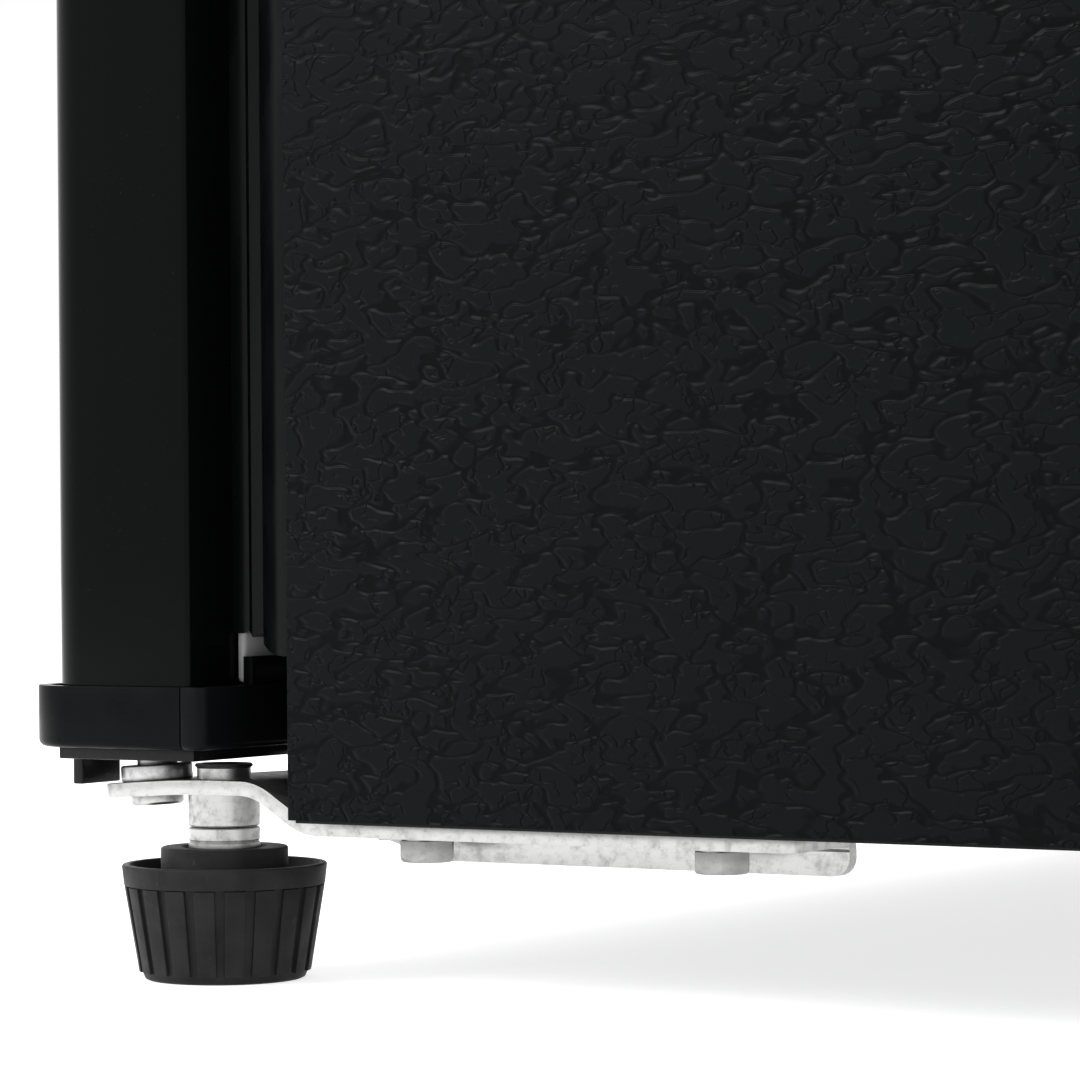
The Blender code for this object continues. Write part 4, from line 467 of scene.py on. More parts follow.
def soft_vinyl(colours):
    """Smooth, slightly greasy black vinyl of the door seal."""
    made = Finish("seal_vinyl", colours.seal, 0.26, Specular_IOR_Level=0.12)
    wipe = made.noise(120, 3.0, 0.6, (1, 1, 0.25))
    made.shade(made.shaped(wipe, 0.4, 0.7), 1.6).polish(wipe, 0.18, 0.36).relief(made.noise(700, 2.0), 0.02 * MM, 0.5)
    return made.material


def foot_plastic(colours):
    """Matt black plastic, scuffed and dusty."""
    made = Finish("foot_plastic", colours.foot, 0.55, Specular_IOR_Level=0.16)
    grain = made.noise(1900, 3.0, 0.65)
    scuffs = made.shaped(made.noise(420, 4.0, 0.7, (1, 1, 0.35)), 0.60, 0.74, 0.0, 0.45)
    cloud = made.noise(150, 3.0, 0.6)
    made.shade(made.shaped(cloud, 0.35, 0.7), 0.72).tint(scuffs, (0.075, 0.074, 0.072))
    made.polish(cloud, 0.46, 0.64).relief(grain, 0.04 * MM, 0.7)
    return made.material


def zinc_plate(colours, name="zinc_plate", wear_and_reflection_patches=0.55, base=None):
    """Bright zinc over sheared and drawn steel: pale and streaked, with grey patches that are partly rubbed wear and
    partly painted reflection of dark surroundings.
    """
    made = Finish(name, base or colours.zinc, 0.34, 1.0)
    patches = made.noise(330, 6.0, 0.72)
    streaks = made.noise(1100, 4.0, 0.7, (0.22, 0.22, 1.0))
    pits = made.shaped(made.noise(1500, 3.0, 0.7), 0.64, 0.74, 0.0, 0.7)
    # Grey patches: partly rubbed zinc, and partly painted reflection standing in for the dark surroundings the metal
    # would mirror.
    made.tint(made.shaped(patches, 0.46, 0.72, 0.0, wear_and_reflection_patches), (0.24, 0.24, 0.24))
    made.tint(made.shaped(streaks, 0.50, 0.75, 0.0, 0.45), (0.36, 0.36, 0.355)).tint(pits, (0.08, 0.08, 0.08))
    made.polish(patches, 0.26, 0.48).relief(streaks, 0.02 * MM, 0.5).relief(made.noise(600, 3.0), 0.03 * MM, 0.5)
    return made.material


def galvanised():
    """Hot-dipped sheet with soft spangle."""
    made = Finish("galvanised_sheet", (0.56, 0.57, 0.58), 0.42, 1.0)
    spangle = made.cells(130, output="Color")
    made.tint(made.shaped(made.noise(90, 3.0), 0.4, 0.7, 0.0, 0.5), (0.42, 0.43, 0.44))
    made.polish(spangle, 0.32, 0.52).relief(made.noise(320, 3.0), 0.02 * MM, 0.5)
    return made.material


def black_enamel(name="rear_enamel", roughness=0.38, base=(0.013, 0.013, 0.014)):
    """Brushed-on or dipped black enamel of the steel parts at the rear."""
    made = Finish(name, base, roughness, Specular_IOR_Level=0.15)
    cloud = made.noise(80, 4.0, 0.6)
    made.shade(made.shaped(cloud, 0.4, 0.7), 1.6).polish(cloud, roughness - 0.08, roughness + 0.10)
    made.relief(made.noise(420, 2.0), 0.05 * MM, 0.6)
    return made.material


def white_mould(colours, name="liner_white", base=None, roughness=0.34):
    """Drawn white plastic with a faint sheen and the waviness of forming."""
    made = Finish(name, base or colours.liner, roughness, Specular_IOR_Level=0.45)
    wave = made.noise(22, 2.0, 0.5)
    made.shade(made.shaped(wave, 0.35, 0.7), 0.95).tint(made.shaped(made.noise(700, 2.0), 0.68, 0.8, 0.0, 0.2),
                                                       (0.62, 0.61, 0.57))
    made.polish(wave, roughness - 0.06, roughness + 0.08).relief(made.noise(480, 2.0), 0.02 * MM, 0.5)
    return made.material


def shelf_glass():
    """Toughened glass, faintly green."""
    made = Finish("toughened_glass", (0.86, 0.95, 0.91), 0.03, Transmission_Weight=0.96, IOR=1.5)
    made.polish(made.noise(60, 3.0), 0.015, 0.05).relief(made.noise(25, 1.0), 0.01 * MM, 0.3)
    return made.material


def clear_plastic():
    """Slightly smoky clear polystyrene of the bins and the drip tray."""
    made = Finish("clear_polystyrene", (0.84, 0.88, 0.90), 0.12, Transmission_Weight=0.55, IOR=1.45)
    wave = made.noise(35, 2.0)
    made.polish(wave, 0.08, 0.20).relief(wave, 0.05 * MM, 0.5)
    return made.material


def rolled_aluminium():
    """Roll-bonded aluminium with rolling lines and raised refrigerant channels."""
    made = Finish("rolled_aluminium", (0.77, 0.78, 0.79), 0.36, 1.0)
    lines = made.noise(1200, 3.0, 0.6, (0.05, 1, 1))
    channels = made.shaped(made.waves(7.5, "Y"), 0.72, 0.90)
    made.shade(made.shaped(lines, 0.4, 0.7), 0.82).polish(lines, 0.28, 0.46)
    made.relief(lines, 0.01 * MM, 0.5).relief(channels, 0.6 * MM, 0.8)
    return made.material


def pipe_copper(colours):
    """Drawn copper, darkened in patches by brazing."""
    made = Finish("pipe_copper", colours.copper, 0.30, 1.0)
    patina = made.noise(110, 4.0, 0.6)
    made.tint(made.shaped(patina, 0.5, 0.75, 0.0, 0.7), (0.30, 0.14, 0.09)).polish(patina, 0.22, 0.46)
    made.relief(made.noise(800, 2.0), 0.015 * MM, 0.5)
    return made.material


def insulating_foam(colours):
    """Rigid foam with its closed cells."""
    made = Finish("insulating_foam", colours.foam, 0.85, Specular_IOR_Level=0.2)
    made.shade(made.noise(300, 4.0), 0.8).relief(made.cells(1500), 0.2 * MM, 0.8)
    return made.material


# -------------------------------------------------------------------- pieces
class Step(bpy.types.Operator):
    """What every building step shares"""

    bl_options = {"REGISTER", "UNDO"}

    def execute(self, context):
        self.build(context.scene.fridge_sizes, context.scene.fridge_colours)
        return {"FINISHED"}


class FRIDGE_OT_cabinet(Step):
    """Folded and embossed outer sheet, with the panels and foam it encloses"""

    bl_idname = "fridge.cabinet"
    bl_label = "Cabinet shell"

    def build(self, sizes, colours):
        shell = copied("cabinet_shell", "cabinet_wrapper")
        edit(shell)
        pick(shell, "EDGE", lambda middle, along: abs(along.z) > 0.99 and near(abs(middle.x), SIDE_X, 5e-4)
             and near(middle.y, FRONT_Y, 5e-4))
        bevel(sizes.fold, 4)
        object_mode()
        finished(shell, "cabinet", embossed_paint(colours, sizes), "embossed_steel", "cabinet_wrapper")
        sheet = galvanised()
        # The base panel gets a near-black finish as painted shadow: it stands for the dark gap under the side panel.
        shadow_dark_finish = black_enamel("painted_shadow_black", 0.5, (0.006, 0.006, 0.006))
        for node, look in (("base_panel", shadow_dark_finish), ("back_panel", sheet), ("compressor_tray", sheet)):
            traced(node + "_sheet", node, "cabinet", look, "galvanised_steel", 0.15 * MM)
        painted(insulating_foam(colours), "cabinet_foam", "door_foam")


class FRIDGE_OT_door_shell(Step):
    """Glossy door skin, folded round its corners and returned behind the door"""

    bl_idname = "fridge.door_shell"
    bl_label = "Door skin"
    corner = 10 * MM
    turn_in = 26 * MM
    fold = 1.2 * MM
    sheet = 1 * MM

    def build(self, sizes, colours):
        low, high = SKIN
        skin = cube("door_shell", low, high)
        edit(skin)
        pick(skin, "FACE", lambda middle, normal: abs(normal.z) > 0.9 or normal.y > 0.9)
        bpy.ops.mesh.delete(type="FACE")
        for side in (-1, 1):
            pick(skin, "EDGE", lambda middle, along: abs(along.z) > 0.9 and near(middle.y, high.y)
                 and near(middle.x, side * high.x))
            extrude_edges((-side * self.turn_in, 0, 0))
        pick(skin, "EDGE", lambda middle, along: abs(along.z) > 0.9 and near(middle.y, high.y)
             and near(abs(middle.x), high.x))
        bevel(self.fold, 4)
        pick(skin, "EDGE", lambda middle, along: abs(along.z) > 0.9 and near(middle.y, low.y)
             and near(abs(middle.x), high.x))
        bevel(self.corner, 14)
        bpy.ops.mesh.select_all(action="SELECT")
        bpy.ops.mesh.normals_make_consistent(inside=False)
        object_mode()
        modifier(skin, "SOLIDIFY", thickness=self.sheet, offset=-1)
        finished(skin, "door", gloss_paint(colours), "gloss_black_steel", "door_skin")


class FRIDGE_OT_door_caps(Step):
    """Moulded end caps of the door, the finger recess and the hinge bushes"""

    bl_idname = "fridge.door_caps"
    bl_label = "Door end caps"
    front_corner = 13 * MM
    rear_corner = 2 * MM
    wall = 2.4 * MM
    seam = 0.35 * MM
    panel_inset = 17 * MM
    panel_top = 63.8 * MM
    panel_front, panel_rear = 2.6 * MM, 0.5 * MM
    panel_rim, panel_sink = 2.5 * MM, 0.6 * MM
    bush_hole = 6.4 * MM

    def build(self, sizes, colours):
        plastic = satin_mould(colours)
        low, high = CAP
        cap = cube("door_lower_cap", low, high)
        edit(cap)
        pick(cap, "EDGE", lambda middle, along: abs(along.z) > 0.9 and near(middle.y, low.y))
        bevel(self.front_corner, 14)
        pick(cap, "EDGE", lambda middle, along: abs(along.z) > 0.9 and near(middle.y, high.y))
        bevel(self.rear_corner, 3)
        pick(cap, "FACE", lambda middle, normal: normal.z > 0.9)
        bpy.ops.mesh.inset(thickness=self.wall, depth=0)
        extrude((0, 0, -(high.z - low.z - self.wall)))
        pick(cap, "EDGE", lambda middle, along: abs(along.z) < 0.1 and near(middle.z, low.z))
        bevel(sizes.cap_edge, 3)
        object_mode()
        for shift in (-self.seam / 2, self.seam / 2):
            edit(cap)
            bpy.ops.mesh.bisect(plane_co=(0, SKIN[1].y + shift, 0), plane_no=(0, 1, 0))
            object_mode()
        edit(cap)
        pick(cap, "FACE", lambda middle, normal: near(middle.y, SKIN[1].y, self.seam * 0.4)
             and abs(middle.x) > high.x - self.wall / 2)
        bpy.ops.mesh.extrude_region_shrink_fatten(TRANSFORM_OT_shrink_fatten={"value": -self.seam})
        object_mode()
        half = high.x - self.panel_inset
        panel = cube("cap_rear_panel", (-half, high.y - self.panel_front, low.z + self.wall),
                     (half, high.y - self.panel_rear, self.panel_top))
        edit(panel)
        pick(panel, "FACE", lambda middle, normal: normal.y > 0.9)
        bpy.ops.mesh.inset(thickness=self.panel_rim, depth=-self.panel_sink)
        object_mode()
        hole = turned("bush_hole", [(self.bush_hole, 0), (self.bush_hole, 8 * MM)],
                      (PIVOT.x, PIVOT.y, low.z - 3 * MM), 40)
        modifier(cap, "BOOLEAN", object=hole, operation="DIFFERENCE", solver="EXACT")
        bpy.data.objects.remove(hole)
        cap = joined("door_lower_cap", [cap, panel])
        round_edges(cap, 0.25 * MM, 2, 45)
        finished(cap, "door", plastic, "moulded_black", "door_cap_bottom")
        traced("door_upper_cap", "door_cap_top", "door", plastic, "moulded_black", 0.5 * MM, 3)
        traced("finger_recess_cup", "handle_cup", "door", plastic, "moulded_black", 0.4 * MM)
        painted(plastic, "door_bush_lower", "door_bush_upper")


class FRIDGE_OT_gasket(Step):
    """Soft magnetic seal: a foot lip, a bellows fold and a rounded bulb, mitred at the corners"""

    bl_idname = "fridge.gasket"
    bl_label = "Door seal"
    skirt = 4.3 * MM
    # How far in from the widest outline, and how far from the door, as shares of the lip and the depth.
    stations = ((1.0, 0.0), (0.95, 0.06), (0.72, 0.13), (0.80, 0.18), (0.86, 0.23), (0.46, 0.30), (0.20, 0.40),
                (0.05, 0.50), (0.0, 0.60), (0.05, 0.70), (0.22, 0.80), (0.48, 0.89), (0.80, 0.97), (1.0, 1.0))

    def build(self, sizes, colours):
        low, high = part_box("door_gasket")
        lip, width = 5 * MM, 21.5 * MM
        depth = high.y - low.y
        middle = (low + high) / 2
        half = (high - low) / 2
        places = [(inward * lip, low.y + share * depth) for inward, share in self.stations]
        foot = low.y - 2.4 * MM
        places = [(self.skirt, foot), (self.skirt, low.y)] + places[1:]
        places += [(width, high.y), (width, low.y), (lip + 0.05 * MM, low.y), (lip + 0.05 * MM, foot), places[0]]
        select_only()
        bpy.ops.mesh.primitive_plane_add(size=2, rotation=(math.pi / 2, 0, 0), location=(middle.x, foot, middle.z))
        seal = added("door_seal")
        seal.scale = (half.x - self.skirt, half.z - self.skirt, 1)
        settle()
        edit(seal)
        bpy.ops.mesh.delete(type="ONLY_FACE")
        bpy.ops.mesh.select_mode(type="EDGE")
        pick(seal, "EDGE", lambda place, along: True)
        for (a, y0), (b, y1) in zip(places, places[1:]):
            extrude_edges((0, y1 - y0, 0))
            bpy.ops.transform.resize(value=((half.x - b) / (half.x - a), 1, (half.z - b) / (half.z - a)),
                                     center_override=(middle.x, y1, middle.z))
        object_mode()
        tidy_mesh(seal)
        finished(seal, "door", soft_vinyl(colours), "black_seal", "door_gasket", smooth=math.radians(48))


class FRIDGE_OT_hinge_brackets(Step):
    """Cranked steel brackets under the front corners"""

    bl_idname = "fridge.hinge_brackets"
    bl_label = "Lower brackets"
    near_edge = 10 * MM
    far_edge = 34.5 * MM
    ear_edge = 52 * MM
    rear = 104 * MM
    low_bend = -3.4 * MM
    high_bend = -15.1 * MM
    ear_bend = -32 * MM
    tip = -56 * MM
    flange_slope = 16 * MM
    fold_radius, ear_radius, foot_radius = 2.4 * MM, 6 * MM, 3.5 * MM
    outer_tip, inner_tip = 10 * MM, 14 * MM

    def build(self, sizes, colours):
        zinc = zinc_plate(colours)
        low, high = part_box("lower_hinge_bracket")
        thick = sizes.plate
        arm = low.z + sizes.flange - thick / 2
        rise = high.z - thick / 2 - arm
        near_x, far_x = SIDE_X - self.near_edge, SIDE_X - self.far_edge + thick / 2
        ear_x = SIDE_X - self.ear_edge
        y = {key: FRONT_Y + getattr(self, key) for key in ("rear", "low_bend", "high_bend", "ear_bend", "tip")}
        select_only()
        bpy.ops.mesh.primitive_plane_add(size=1, location=((near_x + far_x) / 2, (y["rear"] + y["low_bend"]) / 2, arm))
        plate = added("hinge_bracket_right")
        plate.scale = (near_x - far_x, y["rear"] - y["low_bend"], 1)
        settle()
        edit(plate)
        front = y["low_bend"]
        for stop, lift in ((y["high_bend"], rise), (y["ear_bend"], 0), (y["tip"], -sizes.droop)):
            pick(plate, "EDGE", lambda middle, along: abs(along.x) > 0.9 and near(middle.y, front))
            extrude_edges((0, stop - front, lift))
            front = stop
        pick(plate, "EDGE", lambda middle, along: near(middle.x, far_x) and middle.y < y["high_bend"])
        extrude_edges((ear_x - far_x, 0, 0))
        pick(plate, "EDGE", lambda middle, along: near(middle.x, far_x) and middle.y > y["low_bend"])
        extrude_edges((0, 0, thick / 2 - sizes.flange))
        pick(plate, "VERT", lambda place: place.z < arm - thick and place.y < FRONT_Y + 20 * MM)
        bpy.ops.transform.translate(value=(0, self.flange_slope, 0))
        pick(plate, "EDGE", lambda middle, along: abs(along.y) > 0.9 and near(middle.x, far_x)
             and near(middle.z, arm) and middle.y > y["low_bend"])
        bevel(self.fold_radius, 4)
        pick(plate, "EDGE", lambda middle, along: abs(along.x) > 0.9 and middle.z > arm - 1e-4
             and (near(middle.y, y["low_bend"]) or near(middle.y, y["high_bend"])))
        bevel(sizes.bend * 0.75, 5)
        pick(plate, "EDGE", lambda middle, along: abs(along.x) > 0.9 and near(middle.y, y["ear_bend"]))
        bevel(self.ear_radius, 5)
        pick(plate, "VERT", lambda place: near(place.x, near_x) and near(place.y, y["tip"]))
        bevel(self.outer_tip, 9, "VERTICES")
        pick(plate, "VERT", lambda place: near(place.x, ear_x) and near(place.y, y["tip"]))
        bevel(self.inner_tip, 6, "VERTICES")
        pick(plate, "VERT", lambda place: place.z < arm - thick or (near(place.x, near_x) and near(place.y, y["rear"])))
        bevel(self.foot_radius, 5, "VERTICES")
        object_mode()
        modifier(plate, "SOLIDIFY", thickness=thick, offset=0, use_even_offset=True)
        tidy_mesh(plate)
        round_edges(plate, sizes.plate_edge, 2, 50)
        finished(plate, "cabinet", zinc, "zinc_plate", "lower_hinge_bracket")
        traced("foot_bracket_left", "left_foot_bracket", "cabinet", zinc, "zinc_plate", sizes.plate_edge)


class FRIDGE_OT_bolts(Step):
    """Four hexagon bolts, their heads chamfered over a washer face"""

    bl_idname = "fridge.bolts"
    bl_label = "Bracket bolts"
    washer_face = 0.4 * MM
    chamfer = 0.9 * MM
    head, shank = 4.6 * MM, 3 * MM
    drop = 0.6 * MM
    dish, dish_depth = 2.6 * MM, 0.25 * MM

    def build(self, sizes, colours):
        zinc = zinc_plate(colours, "bolt_zinc", 0.6, (0.36, 0.36, 0.355))
        nodes = ("lower_hinge_bolt_front", "lower_hinge_bolt_rear", "left_bracket_bolt_front", "left_bracket_bolt_rear")
        low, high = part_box(nodes[0])
        centre = (low + high) / 2
        radius = sizes.bolt_flats / math.sqrt(3)
        head, shank = self.head, self.shank
        low.z -= self.drop
        select_only()
        bpy.ops.mesh.primitive_cylinder_add(vertices=6, radius=radius, depth=head - self.washer_face,
                                            location=(0, 0, (head - self.washer_face) / 2))
        bolt = added("bracket_bolt_1")
        settle()
        cone = turned("head_cone", [(sizes.bolt_flats / 2 - 0.3 * MM, -0.01 * MM),
                                    (radius + 0.25 * MM, self.chamfer * 1.5), (radius + 0.25 * MM, head * 2)],
                      (0, 0, 0), 72)
        modifier(bolt, "BOOLEAN", object=cone, operation="INTERSECT", solver="EXACT")
        bpy.data.objects.remove(cone)
        edit(bolt)
        pick(bolt, "FACE", lambda middle, normal: normal.z < -0.9)
        bpy.ops.mesh.inset(thickness=self.dish, depth=0)
        bpy.ops.transform.translate(value=(0, 0, self.dish_depth))
        object_mode()
        stem = turned("bolt_stem", [(sizes.bolt_flats / 2, head - self.washer_face), (sizes.bolt_flats / 2, head),
                                    (shank, head), (shank, high.z - low.z)], (0, 0, 0), 40)
        bolt = joined("bracket_bolt_1", [bolt, stem])
        round_edges(bolt, 0.15 * MM, 2, 40)
        for count, node in enumerate(nodes[1:], 2):
            place = sum(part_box(node), Vector()) / 2
            again = repeated(bolt, f"bracket_bolt_{count}", (place.x, place.y, low.z))
            finished(again, "cabinet", zinc, "zinc_plate", node)
        put(bolt, (centre.x, centre.y, low.z))
        finished(bolt, "cabinet", zinc, "zinc_plate", nodes[0])


class FRIDGE_OT_pivot(Step):
    """Hinge pin with its riveted head, the washer the door turns on, and the door's stop plate"""

    bl_idname = "fridge.pivot"
    bl_label = "Lower pivot"
    head = (5.2 * MM, 2.0 * MM)
    shaft = 4 * MM
    washer = (7.15 * MM, 3.3 * MM)

    def build(self, sizes, colours):
        slope = sizes.droop / (24 * MM)
        tilt = (math.atan(slope), 0, 0)
        plate_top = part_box("lower_hinge_bracket")[1].z - 14 * MM * slope
        plate_low = plate_top - sizes.plate
        radius, height = self.head
        head = turned("pin_head", [(radius - 0.6 * MM, -height), (radius, -height + 0.4 * MM), (radius, 0),
                                   (self.shaft, 0.1 * MM), (self.shaft, sizes.plate)],
                      (PIVOT.x, PIVOT.y, plate_low), 48, tilt)
        shaft = turned("pin_shaft", [(self.shaft, plate_low + MM), (self.shaft, PIN[1].z - MM),
                                     (self.shaft - MM, PIN[1].z)], PIVOT, 40)
        pin = joined("hinge_pin", [head, shaft])
        round_edges(pin, 0.2 * MM, 2, 40)
        finished(pin, "cabinet", zinc_plate(colours, "pin_zinc", 0.75), "zinc_plate", "lower_hinge_pin")
        radius, height = self.washer
        bore = self.shaft + 0.2 * MM
        washer = turned("pivot_washer", [(bore, 0), (radius, 0), (radius, height), (bore, height), (bore, 0)],
                        (PIVOT.x, PIVOT.y, plate_top + 0.05 * MM), 56, tilt, ring=True)
        round_edges(washer, 0.45 * MM, 3, 50)
        finished(washer, "cabinet", zinc_plate(colours, "washer_zinc", 0.85, (0.62, 0.62, 0.62)), "zinc_plate",
                 "lower_hinge_washer")
        traced("door_stop", "door_stop_plate", "door", black_enamel("stop_enamel", 0.22), "black_steel", 0.35 * MM, 3)


class FRIDGE_OT_feet(Step):
    """Two screw-down front feet with their riveted bushes and studs, and two fixed rear feet"""

    bl_idname = "fridge.feet"
    bl_label = "Feet"
    base, base_top = 16.1 * MM, 16.3 * MM
    grip_low, grip_high = 1.7 * MM, 18.6 * MM
    grip_radius = 19.1 * MM
    band, rim, rim_height, rim_wall = 19.85 * MM, 20.3 * MM, 22.8 * MM, 1.5 * MM
    well, collar, collar_height = 15 * MM, 12.6 * MM, 26.1 * MM
    socket, socket_mouth = 7.5 * MM, 8.6 * MM
    facets = 16
    panel_facets = 11

    def build(self, sizes, colours):
        plastic = foot_plastic(colours)
        self.cup(sizes, plastic)
        self.hardware(colours)
        for side in ("right", "left"):
            traced(f"rear_foot_{side}_moulding", f"rear_foot_{side}", "cabinet", plastic, "foot_black", 0.6 * MM, 3)

    def cup(self, sizes, plastic):
        edge = 0.9 * MM
        profile = [
            (self.base - edge, 0), (self.base - edge * 0.3, edge * 0.3), (self.base, edge),
            (self.base_top, self.grip_low),
            (self.grip_radius, self.grip_high), (self.band, self.grip_high + 0.05 * MM),
            (self.rim, self.rim_height - 0.3 * MM), (self.rim - 0.25 * MM, self.rim_height),
            (self.rim - self.rim_wall, self.rim_height), (self.rim - self.rim_wall - 1.4 * MM, self.well),
            (self.collar, self.well), (self.collar, self.collar_height - 0.3 * MM),
            (self.collar - 0.3 * MM, self.collar_height), (self.socket_mouth, self.collar_height),
            (self.socket, self.collar_height - 1.1 * MM), (self.socket, 22 * MM), (self.socket / 2, 22 * MM),
        ]
        cup = turned("foot_cup_moulding_right", profile, (0, 0, 0), sizes.ribs * self.facets)
        pitch = 2 * math.pi / sizes.ribs
        share = self.panel_facets / self.facets
        edit(cup)
        pick(cup, "FACE", lambda middle, normal: self.grip_low < middle.z < self.grip_high
             and middle.xy.length > self.collar + 3 * MM and normal.xy.dot(middle.xy) > 0
             and (math.atan2(middle.y, middle.x) / pitch) % 1 < share)
        bpy.ops.mesh.extrude_region_shrink_fatten(TRANSFORM_OT_shrink_fatten={"value": sizes.rib_depth})
        object_mode()
        round_edges(cup, 0.14 * MM, 2, 42)
        again = repeated(cup, "foot_cup_moulding_left", (-FOOT.x, FOOT.y, 0))
        put(cup, FOOT)
        finished(cup, "foot_cup_right", plastic, "foot_black", "foot_cup_right")
        finished(again, "foot_cup_left", plastic, "foot_black", "foot_cup_left")

    def hardware(self, colours):
        steel = zinc_plate(colours, "foot_zinc", 0.7)
        radius, neck, bore = 7.1 * MM, 5.35 * MM, 4.15 * MM
        low, high = BUSH[0].z, BUSH[1].z
        plate_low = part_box("lower_hinge_bracket")[1].z - 2.8 * MM
        bush = turned("foot_bush_sleeve_right", [
            (bore, low), (radius - 0.25 * MM, low), (radius, low + 0.25 * MM), (radius, plate_low - 0.05 * MM),
            (neck, plate_low - 0.05 * MM), (neck, high - 0.9 * MM), (neck + 0.45 * MM, high - 0.45 * MM),
            (neck + 0.2 * MM, high), (bore + 0.5 * MM, high), (bore, high - 0.7 * MM), (bore, low)],
            (0, 0, 0), 64, ring=True)
        groove = 27.2 * MM
        top = low - 0.28 * MM
        stud = turned("foot_stud_turned_right", [
            (2 * MM, 22.1 * MM), (radius - 0.3 * MM, 22.1 * MM), (radius - 0.3 * MM, 25.6 * MM), (radius, 26.0 * MM),
            (radius, groove - 0.35 * MM), (radius - 0.35 * MM, groove), (radius, groove + 0.35 * MM),
            (radius, top - 0.25 * MM), (radius - 0.3 * MM, top), (4.05 * MM, top), (3.9 * MM, top + 0.1 * MM),
            (3.9 * MM, 40.3 * MM), (3.2 * MM, 41 * MM), (MM, 41 * MM)], (0, 0, 0), 64)
        for piece, body, node in ((bush, "cabinet", "foot_bush_{}"), (stud, "foot_stud_{}", "foot_stud_{}")):
            left = repeated(piece, piece.name.replace("right", "left"), (-FOOT.x, FOOT.y, 0))
            put(piece, FOOT)
            finished(piece, body.format("right"), steel, "zinc_plate", node.format("right"))
            finished(left, body.format("left"), steel, "zinc_plate", node.format("left"))


class FRIDGE_OT_upper_hinge(Step):
    """Upper hinge plate, its pin and screws under a moulded cover"""

    bl_idname = "fridge.upper_hinge"
    bl_label = "Upper hinge"

    def build(self, sizes, colours):
        zinc = zinc_plate(colours, "upper_hinge_zinc", 0.3)
        traced("upper_hinge_plate", "upper_hinge_bracket", "cabinet", zinc, "zinc_plate", 0.3 * MM)
        painted(zinc, "upper_hinge_pin")
        for place in ("front", "rear"):
            low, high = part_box(f"upper_hinge_screw_{place}")
            centre = (low + high) / 2
            head, height = (high.x - low.x) / 2, 2 * MM
            screw = turned(f"hinge_screw_{place}", [
                (2 * MM, low.z), (2 * MM, high.z - height), (head, high.z - height), (head, high.z - height * 0.6),
                (head * 0.8, high.z - height * 0.15), (head * 0.4, high.z)], (0, 0, 0), 36)
            for turn in (0, math.pi / 2):
                slot = cube("cross_slot", (-1.9 * MM, -0.35 * MM, high.z - MM), (1.9 * MM, 0.35 * MM, high.z + MM))
                put(slot, (0, 0, 0), (0, 0, turn))
                modifier(screw, "BOOLEAN", object=slot, operation="DIFFERENCE", solver="EXACT")
                bpy.data.objects.remove(slot)
            put(screw, (centre.x, centre.y, 0))
            finished(screw, "cabinet", zinc, "zinc_plate", f"upper_hinge_screw_{place}")
        traced("hinge_cover", "upper_hinge_cover", "cabinet", satin_mould(colours, "cover_black"), "moulded_black",
               0.9 * MM, 3)


class FRIDGE_OT_interior(Step):
    """Liners, chiller, shelf, trays, bins and the thermostat with its numbered dial"""

    bl_idname = "fridge.interior"
    bl_label = "Interior"
    # New name, CAD node, body, rounding in metres.
    white = (
        ("cabinet_liner_drawn", "inner_liner", "cabinet", 1.2 * MM),
        ("door_liner_drawn", "door_liner", "door", 1.2 * MM),
        ("chiller_hanger", "evaporator_hanger", "cabinet", 0.6 * MM),
        ("chiller_door", "chill_flap", "chill_flap", 0.6 * MM),
        ("tray_frame", "drip_tray_frame", "cabinet", 0.3 * MM),
        ("shelf_front_trim", "shelf_trim", "shelf", 0.5 * MM),
        ("thermostat_box", "thermostat_housing", "cabinet", 0.4 * MM),
        ("thermostat_knob", "thermostat_dial", "thermostat_dial", 0.2 * MM),
    )
    clear = (
        ("drip_tray_clear", "drip_tray", "drip_tray", 0.4 * MM),
        ("lower_bin", "door_bin_lower", "door_bin_lower", 0.5 * MM),
        ("upper_bin", "door_bin_upper", "door_bin_upper", 0.5 * MM),
    )

    def build(self, sizes, colours):
        plastic = white_mould(colours)
        for name, node, body, rounding in self.white:
            traced(name, node, body, plastic, "white_plastic", rounding)
        smoky = clear_plastic()
        for name, node, body, rounding in self.clear:
            traced(name, node, body, smoky, "white_plastic", rounding)
        traced("shelf_pane", "shelf_glass", "shelf", shelf_glass(), "clear_glass", 0.6 * MM)
        traced("chiller_body", "evaporator", "cabinet", rolled_aluminium(), "aluminium", 0.35 * MM)
        self.dial_numbers(colours)

    first_number, number_step = 180, 40
    number_ring, number_sink = 9.6 * MM, 2.5 * MM
    number_size, number_height = 3.6 * MM, 0.12 * MM
    upright = 0.2

    def dial_numbers(self, colours):
        """Numbers 1 to 7 round the knob's face in thin raised type, less one that falls on its upright line."""
        low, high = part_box("thermostat_dial")
        centre = (low + high) / 2
        ink = satin_mould(colours, "dial_print", (0.03, 0.03, 0.035), 0.5)
        digits = []
        for count in range(1, 8):
            angle = math.radians(self.first_number - self.number_step * (count - 1))
            if abs(math.cos(angle)) < self.upright:
                continue
            select_only()
            bpy.ops.object.text_add()
            text = bpy.context.object
            text.data.body = str(count)
            text.data.size = self.number_size
            text.data.extrude = self.number_height
            text.data.align_x, text.data.align_y = "CENTER", "CENTER"
            bpy.ops.object.convert(target="MESH")
            digit = bpy.context.object
            put(digit, (centre.x + self.number_ring * math.cos(angle), low.y + self.number_sink,
                        centre.z + self.number_ring * math.sin(angle)),
                (math.pi / 2, 0, 0))
            digits.append(digit)
        finished(joined("dial_numbers", digits), "thermostat_dial", ink, "white_plastic")


